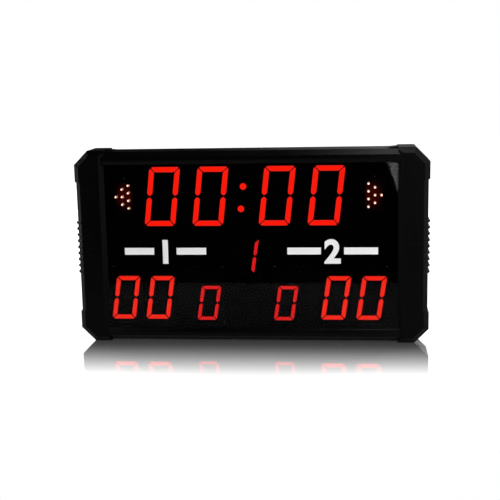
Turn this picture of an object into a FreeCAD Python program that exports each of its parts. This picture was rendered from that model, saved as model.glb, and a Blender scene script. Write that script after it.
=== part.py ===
import FreeCAD, Part
import math
import os
import re
import Sketcher
from FreeCAD import Vector

# Electronic scoreboard, in millimetres. It stands upright on its two end caps.
# X runs to the viewer's right, Y to the back and Z up.
# The origin is under the middle of the board, on the surface that it stands on.

# Driving sizes. A name that ends in share has no unit and a name that ends in count is a number of copies.
SIZES = {
    # Whole board
    "board_width": 605.4,
    "board_height": 335.0,
    "board_depth": 80.0,
    # End cap moulding
    "cap_width": 52.7,
    "cap_wall": 3.5,
    "cap_bevel": 9.0,
    "corner_cut": 24.0,
    "inner_bevel_width": 8.0,
    "inner_bevel_depth": 5.0,
    "shoulder_height": 54.0,
    "grip_side_depth": 2.5,
    "grip_front_depth": 1.0,
    "grip_front_width": 35.0,
    "rib_pitch": 10.8,
    "rib_radius": 3.3,
    "rib_sink": 0.3,
    "rib_front_height": 0.4,
    "rib_bevel_inset": 3.4,
    "tongue_reach": 17.0,
    "tongue_width": 28.0,
    "tongue_tip": 0.5,
    "cap_clearance": 0.2,
    "boss_radius": 6.0,
    "boss_margin": 0.5,
    "screw_seat_depth": 8.0,
    "screw_access_radius": 4.5,
    # Rail extrusion
    "rail_inset": 2.5,
    "rail_insertion": 12.0,
    "rail_depth": 75.0,
    "rail_height": 22.0,
    "rail_wall": 2.0,
    "rail_bevel": 9.0,
    "lip_slope_height": 7.0,
    "lip_slope_depth": 2.0,
    "lip_tip": 0.8,
    "groove_depth": 5.5,
    "groove_clearance": 0.2,
    "back_lip_wall": 1.8,
    "back_lip_drop": 2.0,
    "rear_nose": 3.5,
    "rear_step": 3.5,
    "rear_flange": 14.0,
    "rear_flange_wall": 2.0,
    "port_spacing": 40.0,
    "port_inset": 5.5,
    "port_wall": 2.0,
    "fin_length": 6.5,
    "fin_wall": 1.2,
    # Front window
    "window_thickness": 3.0,
    "window_engagement": 5.0,
    "window_side_cover": 6.0,
    # Display modules: digits, colon and their places on the face
    "digit_gap": 0.5,
    "segment_depth": 4.0,
    "segment_gap": 0.8,
    "segment_corner_share": 0.45,
    "segment_tip_share": 0.42,
    "clock_digit_width": 53.5,
    "clock_digit_height": 102.0,
    "clock_stroke": 9.2,
    "clock_slant_share": 0.118,
    "clock_module_width": 82.0,
    "clock_module_height": 116.0,
    "clock_module_depth": 16.0,
    "score_digit_width": 42.0,
    "score_digit_height": 77.0,
    "score_stroke": 8.0,
    "score_slant_share": 0.152,
    "score_module_width": 58.0,
    "score_module_height": 92.0,
    "score_module_depth": 12.0,
    "small_digit_width": 34.5,
    "small_digit_height": 61.0,
    "small_stroke": 6.2,
    "small_slant_share": 0.157,
    "small_module_width": 48.0,
    "small_module_height": 68.0,
    "small_module_depth": 12.0,
    "clock_centre_x": -10.6,
    "clock_drop": 77.9,
    "clock_digit_pitch": 83.3,
    "clock_pair_spacing": 197.6,
    "face_centre_x": -7.5,
    "score_centre_z": 77.4,
    "score_digit_pitch": 60.5,
    "score_pair_spacing": 366.4,
    "foul_spacing": 133.8,
    "foul_centre_z": 68.0,
    "period_centre_z": 150.5,
    "colon_offset_x": -2.8,
    "colon_offset_z": -2.7,
    "colon_spacing": 38.3,
    "colon_lamp_radius": 5.8,
    "colon_module_width": 24.0,
    "colon_module_height": 70.0,
    # Arrow lamps
    "arrow_centre_x": -5.2,
    "arrow_offset_z": -0.4,
    "arrow_spacing": 433.4,
    "arrow_row_pitch": 13.1,
    "arrow_column_pitch": 10.9,
    "lamp_radius": 2.5,
    "lamp_length": 8.6,
    "lamp_tip_bevel": 1.5,
    "arrow_board_width": 34.0,
    "arrow_board_height": 62.0,
    # Circuit boards and the tray that carries them
    "board_thickness": 1.6,
    "board_margin": 6.0,
    "pillar_inset": 3.0,
    "pillar_length": 5.0,
    "pillar_radius": 2.5,
    "tray_thickness": 1.4,
    "tray_end_gap": 1.0,
    "tray_slot_width": 20.0,
    "tray_slot_height": 4.0,
    # Controller, remote receiver, battery and their leads
    "controller_x": 40.0,
    "controller_z": 157.0,
    "controller_width": 150.0,
    "controller_height": 104.0,
    "controller_pillar": 6.0,
    "processor_side": 14.0,
    "processor_height": 1.8,
    "capacitor_radius": 5.0,
    "capacitor_height": 14.0,
    "capacitor_pitch": 14.0,
    "connector_length": 24.0,
    "connector_width": 6.0,
    "connector_height": 9.0,
    "connector_pitch": 34.0,
    "receiver_x": -80.0,
    "receiver_z": 270.0,
    "receiver_width": 44.0,
    "receiver_height": 28.0,
    "shield_margin": 4.0,
    "shield_height": 3.5,
    "cell_radius": 9.3,
    "cell_length": 66.0,
    "battery_x": -165.0,
    "battery_z": 200.0,
    "strap_thickness": 1.0,
    "strap_width": 22.0,
    "strap_foot": 14.0,
    "strap_screw_radius": 1.5,
    "strap_screw_head_radius": 2.8,
    "strap_screw_head": 1.8,
    "clock_ribbon_drop": 54.6,
    "score_ribbon_z": 120.0,
    "ribbon_width": 16.0,
    "ribbon_thickness": 0.9,
    "ribbon_stand_off": 2.4,
    "lead_radius": 1.4,
    "lead_bend": 8.0,
    "lead_drop": 16.0,
    # Rear panel and what is on it
    "panel_thickness": 1.5,
    "panel_clearance": 0.5,
    "panel_screw_pitch": 150.0,
    "panel_screw_radius": 1.5,
    "panel_screw_head_radius": 2.8,
    "panel_screw_head": 1.7,
    "panel_screw_length": 6.0,
    "panel_hole_radius": 1.7,
    "insert_spacing_x": 200.0,
    "insert_spacing_z": 100.0,
    "insert_bore_radius": 3.0,
    "insert_barrel_radius": 4.5,
    "insert_barrel_length": 13.0,
    "insert_flange_radius": 6.5,
    "insert_flange": 1.0,
    "insert_clearance": 0.1,
    "buzzer_x": 165.0,
    "buzzer_z": 235.0,
    "buzzer_radius": 26.0,
    "buzzer_height": 16.0,
    "sound_slot_width": 2.6,
    "sound_slot_pitch": 5.8,
    "sound_grille_radius": 21.0,
    "inlet_x": 215.0,
    "inlet_z": 96.0,
    "inlet_barrel_radius": 5.5,
    "inlet_length": 16.0,
    "inlet_flange_radius": 7.5,
    "inlet_flange": 1.8,
    "inlet_bore_radius": 2.85,
    "inlet_bore_depth": 9.5,
    "inlet_pin_radius": 1.05,
    "inlet_pin_inset": 0.6,
    "inlet_nut_across": 14.0,
    "inlet_nut": 2.5,
    "switch_x": 215.0,
    "switch_z": 60.0,
    "switch_body_width": 12.8,
    "switch_body_height": 18.8,
    "switch_body_depth": 13.0,
    "switch_bezel_width": 15.0,
    "switch_bezel_height": 21.0,
    "switch_bezel": 1.5,
    "switch_cutout_clearance": 0.2,
    "switch_well_width": 10.6,
    "switch_well_height": 16.2,
    "switch_well_depth": 9.0,
    "rocker_clearance": 0.2,
    "rocker_half_height": 7.2,
    "rocker_crest": 2.0,
    "rocker_rise": 1.5,
    "rocker_skirt": 0.5,
    "rocker_keel": 3.0,
    "rocker_keel_width": 6.0,
    "rocker_pivot_depth": 1.5,
    "rocker_pin_radius": 1.2,
    "rocker_pin_length": 0.9,
    "rocker_pin_clearance": 0.05,
    "terminal_width": 4.8,
    "terminal_thickness": 0.8,
    "terminal_length": 7.0,
    "terminal_pitch": 9.0,
    # Screws that hold the end caps
    "cap_screw_radius": 1.95,
    "cap_screw_bite": 14.0,
    "cap_screw_head_radius": 3.8,
    "cap_screw_head": 2.8,
    "thread_clearance": 0.05,
    "hole_clearance": 0.25,
    # One overrun serves all cuts
    "overrun": 1.0,
}
RIB_COUNT = 9
RIB_FACE_COUNT = 6
CELL_COUNT = 6
PANEL_SCREW_COUNT = 4
SOUND_SLOT_COUNT = 7
# Small round things that repeat have few sides
SHANK_SIDE_COUNT = 6
HEAD_SIDE_COUNT = 8
DRUM_SIDE_COUNT = 12
ROCKER_TILT_ANGLE = 12.0

os.makedirs("parts", exist_ok=True)
doc = FreeCAD.newDocument("scoreboard")
sheet = doc.addObject("Spreadsheet::Sheet", "sizes")
for row, (name, value) in enumerate(SIZES.items(), start=1):
    sheet.set("A%d" % row, name)
    sheet.set("B%d" % row, str(value))
    sheet.setAlias("B%d" % row, name)
doc.recompute()

nodes = []


# Places that several pieces share, as texts in the names above

INNER_X = "(board_width / 2 - cap_width)"
RAIL_TOP = "(board_height - rail_inset)"
RAIL_LIP = "(board_height - rail_inset - rail_height)"
RAIL_END = "(board_width / 2 - cap_width + rail_insertion)"
WINDOW_FRONT = "(lip_slope_depth + lip_tip + groove_clearance - rail_depth / 2)"
BACK_LIP_REAR = "(%s + window_thickness + groove_clearance + back_lip_wall)" % WINDOW_FRONT
DIGIT_FRONT = "(%s + digit_gap)" % BACK_LIP_REAR
TRAY_FRONT = "(%s + clock_module_depth + board_thickness + pillar_length)" % DIGIT_FRONT
TRAY_REAR = "(%s + tray_thickness)" % TRAY_FRONT
PANEL_INNER = "(rail_depth / 2 - rear_step)"
PANEL_OUTER = "(rail_depth / 2 - rear_step + panel_thickness)"
NOSE_BOTTOM = "(board_height - rail_inset - rail_bevel - rear_nose)"
SCREW_SEAT = "(%s + cap_clearance + screw_seat_depth)" % RAIL_END
CLOCK_CENTRE_Z = "(%s - clock_drop)" % RAIL_TOP


def size(name):
    """A driving size, read back from the sheet."""
    return sheet.get(name)


def bound(text):
    """The text with each size name pointing at the sheet; every size name has an underscore or is overrun."""
    return re.sub(r"\b([a-z]+_\w+|overrun)\b", r"sizes.\1", text)


def keep(piece, label):
    """List a piece as a node of its own."""
    piece.Label = label
    nodes.append(piece)
    return piece


def new_body(name, x="0", y="0", z="0"):
    """An empty body whose own origin lies at x, y, z."""
    body = doc.addObject("PartDesign::Body", name)
    body.setExpression("Placement.Base.x", bound(x))
    body.setExpression("Placement.Base.y", bound(y))
    body.setExpression("Placement.Base.z", bound(z))
    return body


def new_sketch(body, plane, offset="0"):
    """A sketch on one of the body's own planes, moved along that plane's normal by the offset."""
    sketch = body.newObject("Sketcher::SketchObject", body.Name + "_outline")
    for feature in body.Origin.OriginFeatures:
        if feature.Role == plane:
            sketch.AttachmentSupport = [(feature, "")]
    sketch.MapMode = "FlatFace"
    sketch.setExpression("AttachmentOffset.Base.z", bound(offset))
    return sketch


def pin_across(sketch, geometry, point, across):
    """Fix how far a sketch point lies from the sketch's origin along its first direction."""
    now = sketch.getPoint(geometry, point).x
    index = sketch.addConstraint(Sketcher.Constraint("DistanceX", -1, 1, geometry, point, now))
    sketch.setExpression("Constraints[%d]" % index, bound(across))


def pin_up(sketch, geometry, point, up):
    """Fix how far a sketch point lies from the sketch's origin along its second direction."""
    now = sketch.getPoint(geometry, point).y
    index = sketch.addConstraint(Sketcher.Constraint("DistanceY", -1, 1, geometry, point, now))
    sketch.setExpression("Constraints[%d]" % index, bound(up))


def pin_point(sketch, geometry, point, across, up):
    """Fix a sketch point by its two distances from the sketch's origin."""
    pin_across(sketch, geometry, point, across)
    pin_up(sketch, geometry, point, up)


def polygon(sketch, corners):
    """A closed outline of straight edges through the corners."""
    first = sketch.GeometryCount
    count = len(corners)
    turns = [Vector(math.cos(math.tau * i / count), math.sin(math.tau * i / count), 0) for i in range(count)]
    for i in range(count):
        sketch.addGeometry(Part.LineSegment(turns[i], turns[(i + 1) % count]), False)
    for i in range(count):
        sketch.addConstraint(Sketcher.Constraint("Coincident", first + i, 2, first + (i + 1) % count, 1))
        pin_point(sketch, first + i, 1, *corners[i])


def rectangle(sketch, width, height, x="0", y="0"):
    """A rectangle about the point x, y."""
    left = "%s - (%s) / 2" % (x, width)
    right = "%s + (%s) / 2" % (x, width)
    low = "%s - (%s) / 2" % (y, height)
    high = "%s + (%s) / 2" % (y, height)
    polygon(sketch, [(left, low), (right, low), (right, high), (left, high)])


def circle(sketch, radius, x="0", y="0"):
    """A circle about the point x, y."""
    index = sketch.addGeometry(Part.Circle(Vector(0, 0, 0), Vector(0, 0, 1), 1.0), False)
    pin_point(sketch, index, 3, x, y)
    limit = sketch.addConstraint(Sketcher.Constraint("Radius", index, 1.0))
    sketch.setExpression("Constraints[%d]" % limit, bound(radius))


def few_sided(sketch, radius, sides, x="0", y="0"):
    """A regular outline with its corners on a circle about the point x, y."""
    turns = [math.tau * (i + 0.5) / sides for i in range(sides)]
    polygon(sketch, [("%s + %s * (%s)" % (x, math.cos(turn), radius),
                      "%s + %s * (%s)" % (y, math.sin(turn), radius)) for turn in turns])


def pad(body, sketch, length, symmetric=False, reverse=False):
    """Grow the sketch into a solid along its normal, both ways or against it."""
    feature = body.newObject("PartDesign::Pad", body.Name + "_pad")
    feature.Profile = sketch
    feature.setExpression("Length", bound(length))
    feature.SideType = "Symmetric" if symmetric else "One side"
    feature.Reversed = reverse
    sketch.Visibility = False
    body.Tip = feature
    return feature


def pocket(body, sketch, depth, symmetric=False, reverse=False):
    """Cut the sketch out of the body against its normal, both ways or along it, and check that it cut."""
    doc.recompute()
    before = body.Shape.Volume
    feature = body.newObject("PartDesign::Pocket", body.Name + "_pocket")
    feature.Profile = sketch
    feature.setExpression("Length", bound(depth))
    feature.SideType = "Symmetric" if symmetric else "One side"
    feature.Reversed = reverse
    sketch.Visibility = False
    body.Tip = feature
    doc.recompute()
    if not body.Shape.Volume < before:
        raise ValueError("nothing was cut from " + body.Name)
    return feature


def bevel_edges(body, test, width):
    """Bevel each edge of the body whose end points all pass the test."""
    doc.recompute()
    base = body.Tip
    names = []
    for index, edge in enumerate(base.Shape.Edges, start=1):
        if all(test(vertex.Point) for vertex in edge.Vertexes):
            names.append("Edge%d" % index)
    feature = body.newObject("PartDesign::Chamfer", body.Name + "_bevel")
    feature.Base = (base, names)
    feature.setExpression("Size", bound(width))
    body.Tip = feature
    return feature


def compound(label, pieces):
    """One node made of several separate solids."""
    group = doc.addObject("Part::Compound", label)
    group.Links = pieces
    return keep(group, label)


def mirrored(label, source, base, normal):
    """The same piece on the other side of a plane."""
    copy = doc.addObject("Part::Mirroring", label)
    copy.Source = source
    copy.setExpression("Base.z", bound(base))
    copy.Normal = normal
    return keep(copy, label)


# Rails

def rail_sketch(body):
    """The extrusion's section: bevelled nose, window groove, top wall, rear nose and rear screw flange."""
    sketch = new_sketch(body, "YZ_Plane")
    half = "rail_depth / 2"
    groove_front = "lip_slope_depth + lip_tip - " + half
    lip_rear = BACK_LIP_REAR
    back_lip_front = "%s - back_lip_wall" % BACK_LIP_REAR
    wall_corner = "(%s - rail_bevel - rail_wall * (sqrt(2) - 1))" % half
    bevel_inside = "%s - rail_bevel - rail_wall * sqrt(2)" % RAIL_TOP
    flange_front = "%s - rear_flange_wall" % PANEL_INNER
    polygon(sketch, [
        ("lip_slope_depth - " + half, RAIL_LIP),
        ("-" + half, RAIL_LIP + " + lip_slope_height"),
        ("-" + half, RAIL_TOP + " - rail_bevel"),
        ("rail_bevel - " + half, RAIL_TOP),
        (half + " - rail_bevel", RAIL_TOP),
        (half, RAIL_TOP + " - rail_bevel"),
        (half, NOSE_BOTTOM),
        (PANEL_INNER, NOSE_BOTTOM),
        (PANEL_INNER, NOSE_BOTTOM + " - rear_flange"),
        (flange_front, NOSE_BOTTOM + " - rear_flange"),
        (flange_front, bevel_inside + " + rear_step + rear_flange_wall"),
        (wall_corner, RAIL_TOP + " - rail_wall"),
        ("-" + wall_corner, RAIL_TOP + " - rail_wall"),
        (lip_rear, "%s + %s + %s" % (bevel_inside, lip_rear, half)),
        (lip_rear, RAIL_LIP + " - back_lip_drop"),
        (back_lip_front, RAIL_LIP + " - back_lip_drop"),
        (back_lip_front, RAIL_LIP + " + groove_depth"),
        (groove_front, RAIL_LIP + " + groove_depth"),
        (groove_front, RAIL_LIP),
    ])
    # The hollow in the nose, above the window groove
    chamber_front = "rail_wall - " + half
    chamber_floor = RAIL_LIP + " + groove_depth + rail_wall"
    polygon(sketch, [
        (chamber_front, chamber_floor),
        (back_lip_front, chamber_floor),
        (back_lip_front, "%s + %s + %s" % (bevel_inside, back_lip_front, half)),
        (chamber_front, bevel_inside + " + rail_wall"),
    ])
    return sketch


def make_top_rail():
    """The upper extrusion, with screw ports, tray fins and tapped holes for the rear panel."""
    body = new_body("top_rail")
    length = "2 * " + RAIL_END
    pad(body, rail_sketch(body), length, symmetric=True)
    ports = new_sketch(body, "YZ_Plane")
    for side in (-1, 1):
        few_sided(ports, "port_wall + cap_screw_radius", HEAD_SIDE_COUNT, "%d * port_spacing / 2" % side,
                  RAIL_TOP + " - port_inset")
    pad(body, ports, length, symmetric=True)
    fins = new_sketch(body, "YZ_Plane")
    fin_offset = "groove_clearance + fin_wall / 2"
    for middle in (TRAY_FRONT + " - (%s)" % fin_offset, TRAY_REAR + " + " + fin_offset):
        rectangle(fins, "fin_wall", "fin_length + rail_wall / 2", middle,
                  RAIL_TOP + " - rail_wall / 2 - (fin_length + rail_wall / 2) / 2")
    pad(body, fins, length, symmetric=True)
    bores = new_sketch(body, "YZ_Plane")
    for side in (-1, 1):
        few_sided(bores, "cap_screw_radius + thread_clearance", SHANK_SIDE_COUNT,
                  "%d * port_spacing / 2" % side, RAIL_TOP + " - port_inset")
    pocket(body, bores, length + " + 2 * overrun", symmetric=True)
    tapped = new_sketch(body, "XZ_Plane", "-(%s - rear_flange_wall / 2)" % PANEL_INNER)
    for x in panel_screw_places():
        few_sided(tapped, "panel_screw_radius + thread_clearance", SHANK_SIDE_COUNT, x,
                  NOSE_BOTTOM + " - rear_flange / 2")
    pocket(body, tapped, "rear_flange_wall + 2 * overrun", symmetric=True)
    return keep(body, "top_rail")


def panel_screw_places():
    """The rear panel's screws along X, evenly spread about the middle."""
    return ["%s * panel_screw_pitch" % (i - (PANEL_SCREW_COUNT - 1) / 2) for i in range(PANEL_SCREW_COUNT)]


# End caps

def cap_shell(body):
    """The hollow moulding: cut corners, bevelled edges and the grip recess, open on its inner side."""
    outline = new_sketch(body, "XZ_Plane")
    outer = "board_width / 2"
    polygon(outline, [
        (INNER_X, "0"),
        (outer + " - corner_cut", "0"),
        (outer, "corner_cut"),
        (outer, "board_height - corner_cut"),
        (outer + " - corner_cut", "board_height"),
        (INNER_X, "board_height"),
    ])
    pad(body, outline, "board_depth", symmetric=True)
    inner_x = size("board_width") / 2 - size("cap_width")
    half_depth = size("board_depth") / 2
    tolerance = size("cap_clearance")
    doc.recompute()
    names = []
    for index, edge in enumerate(body.Tip.Shape.Edges, start=1):
        points = [vertex.Point for vertex in edge.Vertexes]
        on_face = all(abs(abs(point.y) - half_depth) < tolerance for point in points)
        along_face = abs(points[0].y - points[1].y) < tolerance
        if on_face and along_face and max(point.x for point in points) > inner_x + tolerance:
            names.append("Edge%d" % index)
    block = body.Tip
    bevel = body.newObject("PartDesign::Chamfer", "cap_outer_bevel")
    bevel.Base = (block, names)
    bevel.setExpression("Size", bound("cap_bevel"))
    body.Tip = bevel
    recess = new_sketch(body, "XY_Plane", "board_height / 2")
    edge_x = outer + " - grip_front_width"
    front_y = "(board_depth / 2 - grip_front_depth)"
    side_x = outer + " - grip_side_depth"
    bevel_y = "(board_depth / 2 - cap_bevel)"
    turn_x = "%s - (%s - %s)" % (side_x, front_y, bevel_y)
    outside_y = "(board_depth / 2 + overrun)"
    polygon(recess, [
        (edge_x, "-" + outside_y),
        (edge_x, "-" + front_y),
        (turn_x, "-" + front_y),
        (side_x, "-" + bevel_y),
        (side_x, bevel_y),
        (turn_x, front_y),
        (edge_x, front_y),
        (edge_x, outside_y),
        (outer + " + overrun", outside_y),
        (outer + " + overrun", "-" + outside_y),
    ])
    pocket(body, recess, "board_height - 2 * shoulder_height", symmetric=True)
    full = body.Tip
    open_faces = []
    for index, face in enumerate(full.Shape.Faces, start=1):
        if abs(face.BoundBox.XMax - inner_x) < tolerance:
            open_faces.append("Face%d" % index)
    hollow = body.newObject("PartDesign::Thickness", "cap_hollow")
    hollow.Base = (full, open_faces)
    hollow.setExpression("Value", bound("cap_wall"))
    hollow.Reversed = True
    hollow.Join = "Intersection"
    body.Tip = hollow
    doc.recompute()


def cap_lips(body):
    """The inner returns of the front and rear walls, and the bevel that leads down to the window."""
    lips = new_sketch(body, "XY_Plane", "board_height / 2")
    wall_middle = "(board_depth / 2 - cap_wall / 2)"
    polygon(lips, [
        (INNER_X, "-" + wall_middle),
        (RAIL_END, "-" + wall_middle),
        (RAIL_END, WINDOW_FRONT + " - cap_clearance"),
        (INNER_X, WINDOW_FRONT + " - cap_clearance"),
    ])
    polygon(lips, [
        (INNER_X, PANEL_OUTER + " + cap_clearance"),
        (RAIL_END, PANEL_OUTER + " + cap_clearance"),
        (RAIL_END, wall_middle),
        (INNER_X, wall_middle),
    ])
    pad(body, lips, "2 * %s - board_height - 2 * back_lip_drop" % RAIL_LIP, symmetric=True)
    lead_in = new_sketch(body, "XY_Plane", "board_height / 2")
    polygon(lead_in, [
        (INNER_X + " - overrun", "-board_depth / 2 - overrun"),
        (INNER_X + " + inner_bevel_width + overrun * inner_bevel_width / inner_bevel_depth",
         "-board_depth / 2 - overrun"),
        (INNER_X, "inner_bevel_depth - board_depth / 2"),
        (INNER_X + " - overrun", "inner_bevel_depth - board_depth / 2"),
    ])
    pocket(body, lead_in, "board_height + 2 * overrun", symmetric=True)


def cap_sockets(body):
    """The seats for the two rail ends, with the rail's outer outline and a clearance."""
    sockets = new_sketch(body, "YZ_Plane", INNER_X + " - overrun")
    half = "(rail_depth / 2 + cap_clearance)"
    for low, high, cut in (
        ("board_height - %s - cap_clearance" % RAIL_TOP, "board_height - %s + cap_clearance" % RAIL_LIP, "+"),
        (RAIL_TOP + " + cap_clearance", RAIL_LIP + " - cap_clearance", "-"),
    ):
        polygon(sockets, [
            ("-" + half, high),
            ("-" + half, "%s %s rail_bevel" % (low, cut)),
            ("rail_bevel - " + half, low),
            (half + " - rail_bevel", low),
            (half, "%s %s rail_bevel" % (low, cut)),
            (half, high),
        ])
    pocket(body, sockets, "rail_insertion + overrun + cap_clearance", reverse=True)


def cap_bosses(body):
    """Four screw bosses against the rail ends, each with its through hole and its screwdriver access."""
    places = [("%d * port_spacing / 2" % side, height) for side in (-1, 1)
              for height in ("board_height - %s + port_inset" % RAIL_TOP, RAIL_TOP + " - port_inset")]
    columns = new_sketch(body, "YZ_Plane", RAIL_END + " + cap_clearance")
    for y, z in places:
        few_sided(columns, "boss_radius", HEAD_SIDE_COUNT, y, z)
    # A boss ends inside the sloping wall of the cut corner
    boss_length = ("board_width / 2 - corner_cut + rail_inset + port_inset - boss_radius - boss_margin"
                   " - %s - cap_clearance" % RAIL_END)
    pad(body, columns, boss_length)
    holes = new_sketch(body, "YZ_Plane", RAIL_END)
    for y, z in places:
        few_sided(holes, "cap_screw_radius + hole_clearance", SHANK_SIDE_COUNT, y, z)
    pocket(body, holes, "cap_width", reverse=True)
    access = new_sketch(body, "YZ_Plane", SCREW_SEAT)
    for y, z in places:
        few_sided(access, "screw_access_radius", HEAD_SIDE_COUNT, y, z)
    pocket(body, access, "cap_width", reverse=True)


def cap_tongues(body):
    """The ramped tongues that lap over the rails."""
    ramps = new_sketch(body, "XZ_Plane")
    for surface, outside, tip in (
        (RAIL_TOP + " + cap_clearance", "board_height", "+"),
        ("rail_inset - cap_clearance", "0", "-"),
    ):
        polygon(ramps, [
            (INNER_X + " + inner_bevel_width", surface),
            (INNER_X + " + inner_bevel_width", outside),
            (INNER_X, outside),
            (INNER_X + " - tongue_reach", "%s %s tongue_tip" % (surface, tip)),
            (INNER_X + " - tongue_reach", surface),
        ])
    pad(body, ramps, "tongue_width", symmetric=True)


def cap_ribs(body):
    """Half-round grip ribs that run round the outer side and fade out on the front and rear faces."""
    lowest = "board_height / 2 - rib_pitch * %d / 2" % (RIB_COUNT - 1)
    start_x = "(board_width / 2 - grip_front_width + rib_radius)"
    face_y = "(board_depth / 2 - grip_front_depth + rib_front_height - rib_radius)"
    side_x = "(board_width / 2 - grip_side_depth)"
    bevel_y = "(board_depth / 2 - cap_bevel - rib_bevel_inset)"
    turn_x = "(%s - (%s - %s))" % (side_x, face_y, bevel_y)
    route = new_sketch(body, "XY_Plane", lowest)
    corners = [
        (start_x, "-" + face_y),
        (turn_x, "-" + face_y),
        (side_x, "-" + bevel_y),
        (side_x, bevel_y),
        (turn_x, face_y),
        (start_x, face_y),
    ]
    spread = [Vector(math.cos(i), math.sin(i), 0) for i in range(len(corners))]
    for i in range(len(corners) - 1):
        route.addGeometry(Part.LineSegment(spread[i], spread[i + 1]), False)
        pin_point(route, i, 1, *corners[i])
        if i:
            route.addConstraint(Sketcher.Constraint("Coincident", i - 1, 2, i, 1))
    pin_point(route, len(corners) - 2, 2, *corners[-1])
    # Nearly half round section, standing at the route's start; its flat side is sunk in the wall
    section = new_sketch(body, "YZ_Plane", start_x)
    turns = [math.pi * (i / RIB_FACE_COUNT - 0.5) for i in range(RIB_FACE_COUNT + 1)]
    outline = [("-%s - %s * rib_radius" % (face_y, math.cos(turn)),
                "%s + %s * rib_radius" % (lowest, math.sin(turn))) for turn in turns]
    outline.append(("rib_sink - " + face_y, lowest + " + rib_radius"))
    outline.append(("rib_sink - " + face_y, lowest + " - rib_radius"))
    polygon(section, outline)
    rib = body.newObject("PartDesign::AdditivePipe", "cap_rib")
    rib.Profile = section
    rib.Spine = route
    rib.Transition = "Right corner"
    rib.Mode = "Standard"
    body.Tip = rib
    doc.recompute()
    rows = body.newObject("PartDesign::LinearPattern", "cap_rib_rows")
    rows.Originals = [rib]
    rows.Direction = (route, ["N_Axis"])
    rows.Mode = "Spacing"
    rows.setExpression("Offset", bound("rib_pitch"))
    rows.Occurrences = RIB_COUNT
    body.Tip = rows
    doc.recompute()


def make_right_cap():
    """The right end cap; the left one is the same moulding, seen in the board's middle plane."""
    body = new_body("right_end_cap")
    cap_shell(body)
    cap_lips(body)
    cap_sockets(body)
    cap_bosses(body)
    cap_tongues(body)
    cap_ribs(body)
    return keep(body, "right_end_cap")


def make_cap_screws():
    """Eight pan head screws, which run through the caps' bosses into the rails' ports."""
    screws = []
    for side in (-1, 1):
        body = new_body("cap_screws_%s" % ("left" if side < 0 else "right"))
        places = [("%d * port_spacing / 2" % across, height) for across in (-1, 1)
                  for height in ("board_height - %s + port_inset" % RAIL_TOP, RAIL_TOP + " - port_inset")]
        seat = "%d * %s" % (side, SCREW_SEAT)
        heads = new_sketch(body, "YZ_Plane", seat)
        shanks = new_sketch(body, "YZ_Plane", seat)
        for y, z in places:
            few_sided(heads, "cap_screw_head_radius", HEAD_SIDE_COUNT, y, z)
            few_sided(shanks, "cap_screw_radius", SHANK_SIDE_COUNT, y, z)
        pad(body, heads, "cap_screw_head", reverse=side < 0)
        pad(body, shanks, "screw_seat_depth + cap_clearance + cap_screw_bite", reverse=side > 0)
        screws.append(body)
    return compound("end_cap_screws", screws)


# Window and tray

def make_front_window():
    """The smoked acrylic sheet, held in both rails' grooves and behind the caps' front walls."""
    body = new_body("front_window", y=WINDOW_FRONT, z="board_height / 2")
    outline = new_sketch(body, "XZ_Plane")
    rectangle(outline, "2 * (%s + window_side_cover)" % INNER_X,
              "2 * (%s + window_engagement) - board_height" % RAIL_LIP)
    pad(body, outline, "window_thickness", reverse=True)
    return keep(body, "front_window")


def ribbon_slots():
    """Where the ribbon cables pass through the tray: the board behind, and the slot's place in X and Z."""
    side = "(foul_spacing / 2 + small_module_width / 2 + tray_slot_height)"
    return {
        "clock": ("controller_x", CLOCK_CENTRE_Z + " - clock_ribbon_drop"),
        "home": ("face_centre_x - " + side, "score_ribbon_z"),
        "guest": ("face_centre_x + " + side, "score_ribbon_z"),
    }


def make_tray():
    """The sheet plate in the rails' fins, which carries every board, with slots for the ribbon cables."""
    body = new_body("display_tray", y=TRAY_FRONT, z="board_height / 2")
    outline = new_sketch(body, "XZ_Plane")
    rectangle(outline, "2 * (%s - tray_end_gap)" % RAIL_END,
              "board_height - 2 * (rail_inset + rail_wall + tray_end_gap)")
    pad(body, outline, "tray_thickness", reverse=True)
    slots = new_sketch(body, "XZ_Plane", "-tray_thickness / 2")
    for name, (x, z) in ribbon_slots().items():
        wide = ("tray_slot_width", "tray_slot_height")
        width, height = wide if name == "clock" else reversed(wide)
        rectangle(slots, width, height, x, "%s - board_height / 2" % z)
    pocket(body, slots, "tray_thickness + 2 * overrun", symmetric=True)
    return keep(body, "display_tray")


# Seven-segment modules

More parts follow.
